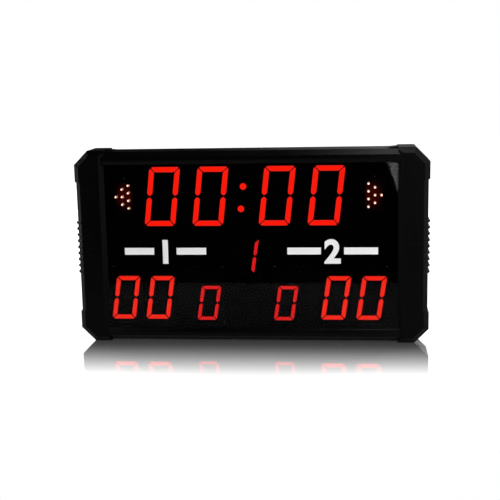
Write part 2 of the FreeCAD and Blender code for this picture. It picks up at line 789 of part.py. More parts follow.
def segment_corners(kind):
    """The seven segments of one digit, as corner texts about its centre, before the slant."""
    right = "%s_digit_width / 2" % kind
    top = "%s_digit_height / 2" % kind
    stroke = "%s_stroke" % kind
    cut = "segment_corner_share * " + stroke
    gap = "segment_gap"
    tip = "segment_tip_share * " + stroke
    bar = [
        ("-%s + (%s + %s) / 2" % (right, cut, gap), "%s - (%s - %s) / 2" % (top, cut, gap)),
        ("-%s + %s" % (right, cut), top),
        ("%s - %s" % (right, cut), top),
        ("%s - (%s + %s) / 2" % (right, cut, gap), "%s - (%s - %s) / 2" % (top, cut, gap)),
        ("%s - %s - %s" % (right, stroke, gap), "%s - %s" % (top, stroke)),
        ("-%s + %s + %s" % (right, stroke, gap), "%s - %s" % (top, stroke)),
    ]
    post = [
        ("%s - (%s - %s) / 2" % (right, cut, gap), "%s - (%s + %s) / 2" % (top, cut, gap)),
        (right, "%s - %s" % (top, cut)),
        (right, "%s + %s" % (gap, tip)),
        ("%s - %s / 2" % (right, stroke), gap),
        ("%s - %s" % (right, stroke), "%s + %s" % (gap, tip)),
        ("%s - %s" % (right, stroke), "%s - %s - %s" % (top, stroke, gap)),
    ]
    middle_tip = "%s - %s / 2 - 2 * %s" % (right, stroke, gap)
    middle_end = "%s - %s - %s" % (right, stroke, gap)
    middle = [
        ("-(%s)" % middle_tip, "0"),
        ("-(%s)" % middle_end, "%s / 2" % stroke),
        (middle_end, "%s / 2" % stroke),
        (middle_tip, "0"),
        (middle_end, "-%s / 2" % stroke),
        ("-(%s)" % middle_end, "-%s / 2" % stroke),
    ]
    return {
        "a": bar,
        "b": post,
        "c": [(across, "-(%s)" % up) for across, up in post],
        "d": [(across, "-(%s)" % up) for across, up in bar],
        "e": [("-(%s)" % across, "-(%s)" % up) for across, up in post],
        "f": [("-(%s)" % across, up) for across, up in post],
        "g": middle,
    }


def digit_segments(kind, name, letters, x, z):
    """The named segments of one digit, sheared to its slant, as separate light guides."""
    body = new_body(name, x, DIGIT_FRONT, z)
    outline = new_sketch(body, "XZ_Plane")
    corners = segment_corners(kind)
    for letter in letters:
        slanted = [("%s + %s_slant_share * (%s)" % (across, kind, up), up) for across, up in corners[letter]]
        polygon(outline, slanted)
    pad(body, outline, "segment_depth", reverse=True)
    return body


def make_digit(kind, name, lit, x, z):
    """One module: a housing with seven recesses, and the segments that fill them."""
    block = new_body(name + "_block", x, DIGIT_FRONT, z)
    outline = new_sketch(block, "XZ_Plane")
    rectangle(outline, kind + "_module_width", kind + "_module_height")
    pad(block, outline, kind + "_module_depth", reverse=True)
    lit_segments = digit_segments(kind, name + "_lit", lit, x, z)
    dark = "".join(letter for letter in "abcdefg" if letter not in lit)
    dark_segments = digit_segments(kind, name + "_dark", dark, x, z)
    recesses = doc.addObject("Part::Compound", name + "_recesses")
    recesses.Links = [lit_segments, dark_segments]
    housing = doc.addObject("Part::Cut", name + "_housing")
    housing.Base = block
    housing.Tool = recesses
    keep(housing, name + "_housing")
    keep(lit_segments, name + "_segments")
    return dark_segments


def digit_places():
    """Every digit: its kind, its name, the segments that are lit and its centre in X and Z."""
    places = []
    for pair, side in (("minutes", -1), ("seconds", 1)):
        for digit, step in (("tens", -1), ("units", 1)):
            x = "clock_centre_x + %d * clock_pair_spacing / 2 + %d * clock_digit_pitch / 2" % (side, step)
            places.append(("clock", "clock_%s_%s" % (pair, digit), "abcdef", x, CLOCK_CENTRE_Z))
    for team, side in (("home", -1), ("guest", 1)):
        for digit, step in (("tens", -1), ("units", 1)):
            x = "face_centre_x + %d * score_pair_spacing / 2 + %d * score_digit_pitch / 2" % (side, step)
            places.append(("score", "%s_score_%s" % (team, digit), "abcdef", x, "score_centre_z"))
        x = "face_centre_x + %d * foul_spacing / 2" % side
        places.append(("small", team + "_foul", "abcdef", x, "foul_centre_z"))
    places.append(("small", "period", "bc", "face_centre_x", "period_centre_z"))
    return places


def make_colon():
    """The clock's colon: a narrow module with two round lamps on the digits' slant."""
    x = "clock_centre_x + colon_offset_x"
    z = CLOCK_CENTRE_Z + " + colon_offset_z"
    lamps = new_body("colon_lamps", x, DIGIT_FRONT, z)
    outline = new_sketch(lamps, "XZ_Plane")
    for side in (-1, 1):
        few_sided(outline, "colon_lamp_radius", DRUM_SIDE_COUNT,
                  "%d * clock_slant_share * colon_spacing / 2" % side, "%d * colon_spacing / 2" % side)
    pad(lamps, outline, "segment_depth", reverse=True)
    block = new_body("colon_block", x, DIGIT_FRONT, z)
    face = new_sketch(block, "XZ_Plane")
    rectangle(face, "colon_module_width", "colon_module_height")
    pad(block, face, "clock_module_depth", reverse=True)
    housing = doc.addObject("Part::Cut", "colon_housing")
    housing.Base = block
    housing.Tool = lamps
    keep(housing, "colon_housing")
    keep(lamps, "colon_lamps")


# Arrow lamps

def make_arrow_lamps(name, side):
    """Eight round lamps in columns of four, three and one, which point away from the middle."""
    body = new_body(name, "arrow_centre_x + %d * arrow_spacing / 2" % side, DIGIT_FRONT,
                    CLOCK_CENTRE_Z + " + arrow_offset_z")
    barrels = new_sketch(body, "XZ_Plane")
    for column, lamp_count in ((-1, 4), (0, 3), (1, 1)):
        for lamp in range(lamp_count):
            x = "%d * arrow_column_pitch" % (side * column)
            z = "%s * arrow_row_pitch" % (lamp - (lamp_count - 1) / 2)
            few_sided(barrels, "lamp_radius", HEAD_SIDE_COUNT, x, z)
    pad(body, barrels, "lamp_length", reverse=True)
    near_tip = size("lamp_tip_bevel")
    bevel_edges(body, lambda point: abs(point.y) < near_tip, "lamp_tip_bevel")
    return keep(body, name)


# Circuit boards on the front of the tray

def display_boards():
    """Each board: its name, its span in X and Z, its front face in Y and its pillars' places."""
    clock_left = "clock_centre_x - clock_pair_spacing / 2 - clock_digit_pitch / 2 - clock_module_width / 2"
    clock_right = "clock_centre_x + clock_pair_spacing / 2 + clock_digit_pitch / 2 + clock_module_width / 2"
    score_outside = "score_pair_spacing / 2 + score_digit_pitch / 2 + score_module_width / 2"
    score_inside = "foul_spacing / 2 - small_module_width / 2"
    clock_back = DIGIT_FRONT + " + clock_module_depth"
    score_back = DIGIT_FRONT + " + score_module_depth"
    small_back = DIGIT_FRONT + " + small_module_depth"
    lamp_back = DIGIT_FRONT + " + lamp_length"
    clock_reach = "clock_module_height / 2 + board_margin"
    score_reach = "score_module_height / 2 + board_margin"
    small_reach = "small_module_height / 2 + board_margin"
    boards = [
        ("clock_board", clock_left, clock_right, CLOCK_CENTRE_Z, clock_reach, clock_back),
        ("home_board", "face_centre_x - (%s)" % score_outside, "face_centre_x - (%s)" % score_inside,
         "score_centre_z", score_reach, score_back),
        ("guest_board", "face_centre_x + (%s)" % score_inside, "face_centre_x + (%s)" % score_outside,
         "score_centre_z", score_reach, score_back),
        ("period_board", "face_centre_x - small_module_width / 2", "face_centre_x + small_module_width / 2",
         "period_centre_z", small_reach, small_back),
    ]
    for name, side in (("left_arrow_board", -1), ("right_arrow_board", 1)):
        middle = "arrow_centre_x + %d * arrow_spacing / 2" % side
        boards.append((name, middle + " - arrow_board_width / 2", middle + " + arrow_board_width / 2",
                       CLOCK_CENTRE_Z + " + arrow_offset_z", "arrow_board_height / 2", lamp_back))
    return boards


def pillar_places(name, left, right, middle, reach):
    """A pillar in each corner of a board, or one at the top and one at the bottom of a narrow one."""
    ends = ["%s %s (%s - pillar_inset)" % (middle, sign, reach) for sign in ("+", "-")]
    if "arrow" in name:
        return [("(%s + %s) / 2" % (left, right), z) for z in ends]
    sides = [left + " + pillar_inset", right + " - pillar_inset"]
    return [(x, z) for x in sides for z in ends]


def make_pillars(name, places, start, length, reverse):
    """Pillars that carry a board on the tray."""
    body = new_body(name, y=start)
    stems = new_sketch(body, "XZ_Plane")
    for x, z in places:
        few_sided(stems, "pillar_radius", SHANK_SIDE_COUNT, x, z)
    pad(body, stems, length, reverse=reverse)
    return body


def make_board(name, left, right, middle, reach, front):
    """A circuit board."""
    body = new_body(name, y=front)
    outline = new_sketch(body, "XZ_Plane")
    rectangle(outline, "(%s) - (%s)" % (right, left), "2 * (%s)" % reach,
              "((%s) + (%s)) / 2" % (left, right), middle)
    pad(body, outline, "board_thickness", reverse=True)
    return keep(body, name)


def make_display_boards():
    """All boards in front of the tray, and the pillars that carry them."""
    pillars = []
    for name, left, right, middle, reach, front in display_boards():
        places = pillar_places(name, left, right, middle, reach)
        make_board(name, left, right, middle, reach, front)
        back = front + " + board_thickness"
        length = "%s - (%s)" % (TRAY_FRONT, back)
        pillars.append(make_pillars(name + "_pillars", places, back, length, reverse=True))
    return pillars


# Controller, receiver and battery behind the tray

CONTROLLER_FRONT = "(%s + controller_pillar)" % TRAY_REAR
CONTROLLER_REAR = "(%s + controller_pillar + board_thickness)" % TRAY_REAR


def make_controller():
    """The controller board on its pillars, with its processor, capacitors and connectors."""
    left = "controller_x - controller_width / 2"
    right = "controller_x + controller_width / 2"
    reach = "controller_height / 2"
    places = pillar_places("controller_board", left, right, "controller_z", reach)
    make_board("controller_board", left, right, "controller_z", reach, CONTROLLER_FRONT)
    # These pillars stand on the tray's rear face, so they grow the other way
    pillars = make_pillars("controller_pillars", places, CONTROLLER_FRONT, "controller_pillar", reverse=False)

    processor = new_body("processor", "controller_x", CONTROLLER_REAR, "controller_z")
    outline = new_sketch(processor, "XZ_Plane")
    rectangle(outline, "processor_side", "processor_side")
    pad(processor, outline, "processor_height", reverse=True)

    capacitors = new_body("capacitors", "controller_x + controller_width / 4", CONTROLLER_REAR,
                          "controller_z")
    outline = new_sketch(capacitors, "XZ_Plane")
    for step in (-1, 1):
        few_sided(outline, "capacitor_radius", DRUM_SIDE_COUNT, "0", "%d * capacitor_pitch / 2" % step)
    pad(capacitors, outline, "capacitor_height", reverse=True)

    connectors = new_body("board_connectors", "controller_x", CONTROLLER_REAR,
                          "controller_z - controller_height / 2 + connector_width")
    outline = new_sketch(connectors, "XZ_Plane")
    for step in (-1, 0, 1):
        rectangle(outline, "connector_length", "connector_width", "%d * connector_pitch" % step)
    pad(connectors, outline, "connector_height", reverse=True)
    compound("controller_components", [processor, capacitors, connectors])
    return pillars


def make_receiver():
    """The remote control's receiver: a small board on the tray, under a metal shield."""
    board = new_body("remote_receiver", "receiver_x", TRAY_REAR, "receiver_z")
    outline = new_sketch(board, "XZ_Plane")
    rectangle(outline, "receiver_width", "receiver_height")
    pad(board, outline, "board_thickness", reverse=True)
    keep(board, "remote_receiver")
    shield = new_body("receiver_shield", "receiver_x", TRAY_REAR + " + board_thickness", "receiver_z")
    outline = new_sketch(shield, "XZ_Plane")
    rectangle(outline, "receiver_width - 2 * shield_margin", "receiver_height - 2 * shield_margin")
    pad(shield, outline, "shield_height", reverse=True)
    keep(shield, "receiver_shield")


def make_battery():
    """A flat pack of round cells in one wrap, under a strap that is screwed to the tray."""
    cells = new_body("battery_pack", "battery_x", TRAY_REAR + " + cell_radius", "battery_z")
    row = new_sketch(cells, "XY_Plane")
    span = "%d * cell_radius" % (CELL_COUNT - 1)
    rectangle(row, "2 * (%s)" % span, "2 * cell_radius")
    pad(cells, row, "cell_length", symmetric=True)
    ends = new_sketch(cells, "XY_Plane")
    for side in (-1, 1):
        circle(ends, "cell_radius", "%d * %s" % (side, span))
    pad(cells, ends, "cell_length", symmetric=True)
    keep(cells, "battery_pack")

    strap = new_body("battery_strap", "battery_x", TRAY_REAR, "battery_z")
    hoop = new_sketch(strap, "XY_Plane")
    inside = "(%d * cell_radius + groove_clearance)" % CELL_COUNT
    top = "(2 * cell_radius + groove_clearance)"
    outside = "(%s + strap_thickness)" % inside
    foot = "(%s + strap_foot)" % outside
    polygon(hoop, [
        ("-" + foot, "0"), ("-" + inside, "0"), ("-" + inside, top), (inside, top),
        (inside, "0"), (foot, "0"), (foot, "strap_thickness"), (outside, "strap_thickness"),
        (outside, top + " + strap_thickness"), ("-" + outside, top + " + strap_thickness"),
        ("-" + outside, "strap_thickness"), ("-" + foot, "strap_thickness"),
    ])
    pad(strap, hoop, "strap_width", symmetric=True)
    screw_x = "(%s + strap_foot / 2)" % outside
    holes = new_sketch(strap, "XZ_Plane", "-strap_thickness / 2")
    for side in (-1, 1):
        few_sided(holes, "strap_screw_radius + thread_clearance", SHANK_SIDE_COUNT,
                  "%d * %s" % (side, screw_x))
    pocket(strap, holes, "strap_thickness + 2 * overrun", symmetric=True)
    keep(strap, "battery_strap")

    screws = new_body("strap_screws", "battery_x", TRAY_REAR + " + strap_thickness", "battery_z")
    shanks = new_sketch(screws, "XZ_Plane")
    heads = new_sketch(screws, "XZ_Plane")
    for side in (-1, 1):
        few_sided(shanks, "strap_screw_radius", SHANK_SIDE_COUNT, "%d * %s" % (side, screw_x))
        few_sided(heads, "strap_screw_head_radius", HEAD_SIDE_COUNT, "%d * %s" % (side, screw_x))
    pad(screws, shanks, "strap_thickness")
    pad(screws, heads, "strap_screw_head", reverse=True)
    keep(screws, "strap_screws")


def make_ribbons():
    """Flat cables from the display boards through the tray's slots to the controller board."""
    clock_back = DIGIT_FRONT + " + clock_module_depth + board_thickness"
    score_back = DIGIT_FRONT + " + score_module_depth + board_thickness"
    ribbons = []
    for name, back, wide, tall in (
        ("clock", clock_back, "ribbon_width", "ribbon_thickness"),
        ("guest", score_back, "ribbon_thickness", "ribbon_width"),
    ):
        x, z = ribbon_slots()[name]
        straight = new_body(name + "_ribbon", x, back, z)
        outline = new_sketch(straight, "XZ_Plane")
        rectangle(outline, wide, tall)
        pad(straight, outline, "%s - (%s)" % (CONTROLLER_FRONT, back), reverse=True)
        ribbons.append(straight)
    # The home team's board lies beside the controller, so its cable turns twice behind the tray
    x, z = ribbon_slots()["home"]
    folded = new_body("home_ribbon", z=z)
    run = new_sketch(folded, "XY_Plane")
    level = "(%s + ribbon_stand_off)" % TRAY_REAR
    end_x = "(controller_x - controller_width / 4)"
    polygon(run, [
        (x + " - ribbon_thickness", score_back),
        (x, score_back),
        (x, level),
        (end_x + " + ribbon_thickness", level),
        (end_x + " + ribbon_thickness", CONTROLLER_FRONT),
        (end_x, CONTROLLER_FRONT),
        (end_x, level + " + ribbon_thickness"),
        (x + " - ribbon_thickness", level + " + ribbon_thickness"),
    ])
    pad(folded, run, "ribbon_width", symmetric=True)
    ribbons.append(folded)
    return compound("ribbon_cables", ribbons)


# Rear panel

def insert_places():
    """The four threaded inserts, on a rectangle about the board's middle."""
    return [("%d * insert_spacing_x / 2" % across, "%d * insert_spacing_z / 2" % up)
            for across in (-1, 1) for up in (-1, 1)]


def sound_slots():
    """Upright slots that fill a round grille over the buzzer: each slot's place in X and its height."""
    slots = []
    for i in range(SOUND_SLOT_COUNT):
        across = "%s * sound_slot_pitch" % (i - (SOUND_SLOT_COUNT - 1) / 2)
        slots.append((across, "2 * sqrt(sound_grille_radius ^ 2 - (%s) ^ 2)" % across))
    return slots


def make_rear_panel():
    """The screwed sheet at the back, with the cut-outs for what is mounted in it."""
    body = new_body("rear_panel", y=PANEL_INNER, z="board_height / 2")
    outline = new_sketch(body, "XZ_Plane")
    rectangle(outline, "2 * (%s + window_side_cover)" % INNER_X,
              "2 * (%s - panel_clearance) - board_height" % NOSE_BOTTOM)
    pad(body, outline, "panel_thickness", reverse=True)
    holes = new_sketch(body, "XZ_Plane", "-panel_thickness / 2")
    row_z = "(%s - rear_flange / 2 - board_height / 2)" % NOSE_BOTTOM
    for x in panel_screw_places():
        for side in (-1, 1):
            few_sided(holes, "panel_hole_radius", SHANK_SIDE_COUNT, x, "%d * %s" % (side, row_z))
    for x, z in insert_places():
        few_sided(holes, "insert_barrel_radius + insert_clearance", SHANK_SIDE_COUNT, x, z)
    for across, height in sound_slots():
        rectangle(holes, "sound_slot_width", height, "buzzer_x + " + across, "buzzer_z - board_height / 2")
    few_sided(holes, "inlet_barrel_radius + insert_clearance", DRUM_SIDE_COUNT, "inlet_x",
              "inlet_z - board_height / 2")
    rectangle(holes, "switch_body_width + 2 * switch_cutout_clearance",
              "switch_body_height + 2 * switch_cutout_clearance", "switch_x", "switch_z - board_height / 2")
    pocket(body, holes, "panel_thickness + 2 * overrun", symmetric=True)
    return keep(body, "rear_panel")


def make_panel_screws():
    """Pan head screws along both rails' rear flanges."""
    body = new_body("rear_panel_screws", y=PANEL_OUTER, z="board_height / 2")
    heads = new_sketch(body, "XZ_Plane")
    shanks = new_sketch(body, "XZ_Plane")
    row_z = "(%s - rear_flange / 2 - board_height / 2)" % NOSE_BOTTOM
    for x in panel_screw_places():
        for side in (-1, 1):
            few_sided(heads, "panel_screw_head_radius", HEAD_SIDE_COUNT, x, "%d * %s" % (side, row_z))
            few_sided(shanks, "panel_screw_radius", SHANK_SIDE_COUNT, x, "%d * %s" % (side, row_z))
    pad(body, heads, "panel_screw_head", reverse=True)
    pad(body, shanks, "panel_screw_length")
    return keep(body, "rear_panel_screws")


def make_inserts():
    """Four flanged threaded inserts with six-sided barrels, for a wall or tripod bracket."""
    body = new_body("bracket_inserts", y=PANEL_OUTER, z="board_height / 2")
    flanges = new_sketch(body, "XZ_Plane")
    barrels = new_sketch(body, "XZ_Plane")
    bores = new_sketch(body, "XZ_Plane", "insert_barrel_length + overrun")
    for x, z in insert_places():
        few_sided(flanges, "insert_flange_radius", DRUM_SIDE_COUNT, x, z)
        few_sided(barrels, "insert_barrel_radius", SHANK_SIDE_COUNT, x, z)
        circle(bores, "insert_bore_radius", x, z)
    pad(body, flanges, "insert_flange", reverse=True)
    pad(body, barrels, "insert_barrel_length")
    pocket(body, bores, "insert_barrel_length + insert_flange + 2 * overrun")
    return keep(body, "bracket_inserts")


def make_buzzer():
    """The buzzer: a drum against the panel, behind the sound slots."""
    body = new_body("buzzer", "buzzer_x", PANEL_INNER, "buzzer_z")
    drum = new_sketch(body, "XZ_Plane")
    few_sided(drum, "buzzer_radius", 2 * DRUM_SIDE_COUNT)
    pad(body, drum, "buzzer_height")
    return keep(body, "buzzer")


def make_inlet():
    """The DC inlet: a flanged barrel with a socket round its contact pin, and the nut inside the panel."""
    barrel = new_body("dc_inlet", "inlet_x", PANEL_OUTER, "inlet_z")
    flange = new_sketch(barrel, "XZ_Plane")
    circle(flange, "inlet_flange_radius")
    pad(barrel, flange, "inlet_flange", reverse=True)
    tube = new_sketch(barrel, "XZ_Plane")
    few_sided(tube, "inlet_barrel_radius", DRUM_SIDE_COUNT)
    pad(barrel, tube, "inlet_length")
    socket = new_sketch(barrel, "XZ_Plane", "inlet_bore_depth - inlet_flange")
    circle(socket, "inlet_bore_radius")
    circle(socket, "inlet_pin_radius")
    pocket(barrel, socket, "inlet_bore_depth + overrun")
    pin_end = new_sketch(barrel, "XZ_Plane", "inlet_pin_inset - inlet_flange")
    circle(pin_end, "inlet_bore_radius")
    pocket(barrel, pin_end, "inlet_pin_inset + overrun")
    keep(barrel, "dc_inlet")

    nut = new_body("dc_inlet_nut", "inlet_x", PANEL_INNER, "inlet_z")
    hexagon = new_sketch(nut, "XZ_Plane")
    reach = "inlet_nut_across / sqrt(3)"
    few_sided(hexagon, reach, SHANK_SIDE_COUNT)
    few_sided(hexagon, "inlet_barrel_radius + thread_clearance", DRUM_SIDE_COUNT)
    pad(nut, hexagon, "inlet_nut")
    keep(nut, "dc_inlet_nut")


# Power switch

PIVOT_Y = "(%s - rocker_pivot_depth)" % PANEL_OUTER


def make_switch():
    """The rocker switch's snap-in body, with its well, pivot holes and terminals."""
    body = new_body("power_switch_body", "switch_x", PANEL_OUTER, "switch_z")
    bezel = new_sketch(body, "XZ_Plane")
    rectangle(bezel, "switch_bezel_width", "switch_bezel_height")
    pad(body, bezel, "switch_bezel", reverse=True)
    barrel = new_sketch(body, "XZ_Plane")
    rectangle(barrel, "switch_body_width", "switch_body_height")
    pad(body, barrel, "switch_body_depth")
    well = new_sketch(body, "XZ_Plane", "switch_well_depth")
    rectangle(well, "switch_well_width", "switch_well_height")
    pocket(body, well, "switch_well_depth + switch_bezel + overrun")
    pivot = new_sketch(body, "YZ_Plane")
    circle(pivot, "rocker_pin_radius + rocker_pin_clearance", "-rocker_pivot_depth")
    pocket(body, pivot, "switch_body_width + 2 * overrun", symmetric=True)
    keep(body, "power_switch_body")

    terminals = new_body("switch_terminals", "switch_x", PANEL_OUTER + " - switch_body_depth", "switch_z")
    blades = new_sketch(terminals, "XZ_Plane")
    for side in (-1, 1):
        rectangle(blades, "terminal_width", "terminal_thickness", "0", "%d * terminal_pitch / 2" % side)
    pad(terminals, blades, "terminal_length")
    keep(terminals, "switch_terminals")


def make_rocker():
    """The rocker in its on position: two faces that meet in a shallow valley, a keel and two pivot pins."""
    body = new_body("power_rocker", "switch_x", PIVOT_Y, "switch_z")
    body.Placement.Rotation = FreeCAD.Rotation(Vector(1, 0, 0), ROCKER_TILT_ANGLE)
    body.setExpression("Placement.Base.x", bound("switch_x"))
    profile = new_sketch(body, "YZ_Plane")
    end = "rocker_half_height"
    high = "rocker_crest + rocker_rise"
    polygon(profile, [
        (high, "-" + end),
        ("rocker_crest", "0"),
        (high, end),
        ("rocker_skirt", end),
        ("-rocker_keel", "rocker_keel_width / 2"),
        ("-rocker_keel", "-rocker_keel_width / 2"),
        ("rocker_skirt", "-" + end),
    ])
    pad(body, profile, "switch_well_width - 2 * rocker_clearance", symmetric=True)
    pins = new_sketch(body, "YZ_Plane")
    circle(pins, "rocker_pin_radius")
    pad(body, pins, "switch_well_width + 2 * rocker_pin_length", symmetric=True)
    return keep(body, "power_rocker")


# Power leads

def bent_route(points, bend):
    """The points with each corner cut off at the bend's distance."""
    route = [points[0]]
    for i in range(1, len(points) - 1):
        arriving = (points[i] - points[i - 1]).normalize()
        leaving = (points[i + 1] - points[i]).normalize()
        route.append(points[i] - arriving * bend)
        route.append(points[i] + leaving * bend)
    route.append(points[-1])
    return route


def lead(points):
    """A six-sided lead with mitred bends that follows the points."""
    route = Part.makePolygon(bent_route(points, size("lead_bend")))
    rim = Part.Circle(points[0], points[1] - points[0], size("lead_radius"))
    corners = [rim.value(math.tau * i / SHANK_SIDE_COUNT) for i in range(SHANK_SIDE_COUNT)]
    section = Part.makePolygon(corners + corners[:1])
    return route.makePipeShell([section], True, False, 1)


def box_of(name):
    """The space that a finished piece takes up."""
    return doc.getObject(name).Shape.BoundBox


def make_leads():
    """The leads of the inlet, the switch, the battery and the buzzer, each from piece to piece."""
    doc.recompute()
    inlet = box_of("dc_inlet")
    terminals = box_of("switch_terminals")
    battery = box_of("battery_pack")
    buzzer = box_of("buzzer")
    plugs = box_of("board_connectors")
    level = battery.Center.y
    lower = terminals.ZMin + size("terminal_thickness") / 2
    upper = terminals.ZMax - size("terminal_thickness") / 2
    right_plug_x = plugs.Center.x + size("connector_pitch")
    left_plug_x = plugs.Center.x - size("connector_pitch")
    battery_x = battery.XMax - size("lead_drop")
    battery_z = battery.ZMin - size("lead_drop")
    switch_x = terminals.Center.x
    leads = [
        lead([
            Vector(switch_x, terminals.YMin, upper),
            Vector(switch_x, level, upper),
            Vector(switch_x, level, inlet.Center.z),
            Vector(switch_x, inlet.YMin, inlet.Center.z),
        ]),
        lead([
            Vector(switch_x, terminals.YMin, lower),
            Vector(switch_x, level, lower),
            Vector(right_plug_x, level, lower),
            Vector(right_plug_x, level, plugs.ZMin),
        ]),
        lead([
            Vector(battery_x, level, battery.ZMin),
            Vector(battery_x, level, battery_z),
            Vector(left_plug_x, level, battery_z),
            Vector(left_plug_x, level, plugs.ZMax),
        ]),
        lead([
            Vector(buzzer.Center.x, buzzer.YMin, buzzer.Center.z),
            Vector(buzzer.Center.x, plugs.Center.y, buzzer.Center.z),
            Vector(buzzer.Center.x, plugs.Center.y, plugs.Center.z),
            Vector(plugs.XMax, plugs.Center.y, plugs.Center.z),
        ]),
    ]
    group = doc.addObject("Part::Feature", "power_leads")
    group.Shape = Part.makeCompound(leads)
    group.Placement = FreeCAD.Placement()
    return keep(group, "power_leads")


make_top_rail()
mirrored("bottom_rail", nodes[0], "board_height / 2", Vector(0, 0, 1))
right_cap = make_right_cap()
mirrored("left_end_cap", right_cap, "0", Vector(1, 0, 0))
make_cap_screws()
make_front_window()
make_tray()
unlit = [make_digit(*place) for place in digit_places()]
compound("unlit_segments", unlit)
make_colon()
make_arrow_lamps("left_arrow_lamps", -1)
make_arrow_lamps("right_arrow_lamps", 1)
pillars = make_display_boards()
pillars.append(make_controller())
compound("board_pillars", pillars)
make_receiver()
make_battery()
make_ribbons()
make_rear_panel()
make_panel_screws()
make_inserts()
make_buzzer()
make_inlet()
make_switch()
make_rocker()
make_leads()

doc.recompute()
for item in doc.Objects:
    if "Invalid" in item.State or "Error" in item.State:
        raise ValueError(item.Name + " failed: " + str(item.State))
for piece in nodes:
    if piece.Shape.isNull() or not piece.Shape.isValid():
        raise ValueError(piece.Label + " has no valid shape")
for piece in nodes:
    piece.Shape.exportStep("parts/%s.step" % piece.Label)
print("wrote", len(nodes), "nodes")
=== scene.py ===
import math

import bmesh
import bpy
from mathutils import Matrix, Vector


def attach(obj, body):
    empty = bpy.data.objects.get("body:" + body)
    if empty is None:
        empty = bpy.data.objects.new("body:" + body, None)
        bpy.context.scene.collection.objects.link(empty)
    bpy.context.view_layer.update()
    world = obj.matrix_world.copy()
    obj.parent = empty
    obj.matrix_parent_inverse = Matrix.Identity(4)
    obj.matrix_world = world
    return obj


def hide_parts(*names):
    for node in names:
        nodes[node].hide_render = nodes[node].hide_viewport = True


# Electronic scoreboard: looks. Lengths are in metres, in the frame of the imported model.
# X runs to the viewer's right, Y to the back and Z up. The display faces -Y.

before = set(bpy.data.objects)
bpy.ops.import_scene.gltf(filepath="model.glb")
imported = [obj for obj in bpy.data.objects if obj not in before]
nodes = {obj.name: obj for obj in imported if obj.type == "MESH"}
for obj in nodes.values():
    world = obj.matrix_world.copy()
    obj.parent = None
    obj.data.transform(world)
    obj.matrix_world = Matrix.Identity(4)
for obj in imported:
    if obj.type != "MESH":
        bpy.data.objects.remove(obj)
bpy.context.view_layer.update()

# Camera

CAMERA_YAW = math.radians(6.013)
CAMERA_PITCH = math.radians(10.240)
CAMERA_ROLL = math.radians(-1.180)
CAMERA_DISTANCE = 1.711
CAMERA_TARGET = Vector((-0.00086, -0.0345, 0.16248))
CAMERA_LENS = 72.0
CAMERA_SENSOR = 36.0


def make_camera():
    """The photograph's viewing angle."""
    flat = math.cos(CAMERA_PITCH)
    forward = Vector((-math.sin(CAMERA_YAW) * flat, math.cos(CAMERA_YAW) * flat, -math.sin(CAMERA_PITCH)))
    level = Vector((math.cos(CAMERA_YAW), math.sin(CAMERA_YAW), 0.0))
    upright = level.cross(forward)
    right = math.cos(CAMERA_ROLL) * level + math.sin(CAMERA_ROLL) * upright
    up = math.cos(CAMERA_ROLL) * upright - math.sin(CAMERA_ROLL) * level
    data = bpy.data.cameras.new("camera")
    data.lens = CAMERA_LENS
    data.sensor_width = CAMERA_SENSOR
    data.clip_start = 0.01
    camera = bpy.data.objects.new("camera", data)
    bpy.context.scene.collection.objects.link(camera)
    turn = Matrix((right, up, -forward)).transposed().to_4x4()
    camera.matrix_world = Matrix.Translation(CAMERA_TARGET - forward * CAMERA_DISTANCE) @ turn
    bpy.context.scene.camera = camera


make_camera()
bpy.context.scene.view_settings.view_transform = "Standard"

# Sizes that the dressed pieces share with the CAD nodes

WINDOW_FACE = -0.0345
DIGIT_FACE = -0.0290
PANEL_FACE = 0.0355
BOARD_MIDDLE_Z = 0.1675
BOARD_HALF_WIDTH = 0.3027
ARROW_CENTRE_X = -0.0052
ARROW_CENTRE_Z = 0.2542
ARROW_SPACING = 0.4334
ARROW_ROW_PITCH = 0.0131
ARROW_COLUMN_PITCH = 0.0109
LAMP_LENGTH = 0.0086
TO_FRONT = (0, -1, 0)
TO_BACK = (0, 1, 0)


# Shader nodes

def feed(tree, value, socket):
    """Give a node's socket a number, or the output of another node."""
    if isinstance(value, float):
        socket.default_value = value
    else:
        tree.links.new(value, socket)


def calculate(tree, operation, *values):
    """The result of a math node on numbers or on the outputs of other nodes."""
    node = tree.nodes.new("ShaderNodeMath")
    node.operation = operation
    for value, socket in zip(values, node.inputs):
        feed(tree, value, socket)
    return node.outputs["Value"]


def vector_step(tree, operation, vector, operand=None):
    """A vector after one step of vector maths, or its length."""
    node = tree.nodes.new("ShaderNodeVectorMath")
    node.operation = operation
    tree.links.new(vector, node.inputs[0])
    if operand:
        node.inputs[1].default_value = operand
    return node.outputs["Value" if operation == "LENGTH" else "Vector"]


def map_range(tree, value, start, end, low=0.0, high=1.0, smooth=False):
    """Spread the part of a value from start to end over the range from low to high."""
    node = tree.nodes.new("ShaderNodeMapRange")
    if smooth:
        node.interpolation_type = "SMOOTHSTEP"
    node.inputs["From Min"].default_value = start
    node.inputs["From Max"].default_value = end
    node.inputs["To Min"].default_value = low
    node.inputs["To Max"].default_value = high
    tree.links.new(value, node.inputs["Value"])
    return node.outputs["Result"]


def split_vector(tree, vector):
    """The X, Y and Z of a vector."""
    node = tree.nodes.new("ShaderNodeSeparateXYZ")
    tree.links.new(vector, node.inputs["Vector"])
    return node.outputs


def emission(tree, colour, strength):
    """A shader that glows."""
    node = tree.nodes.new("ShaderNodeEmission")
    node.inputs["Color"].default_value = (*colour, 1.0)
    feed(tree, strength, node.inputs["Strength"])
    return node.outputs["Emission"]


def background(tree, strength):
    """White light from all round."""
    node = tree.nodes.new("ShaderNodeBackground")
    node.inputs["Color"].default_value = (*WHITE, 1.0)
    feed(tree, strength, node.inputs["Strength"])
    return node.outputs["Background"]


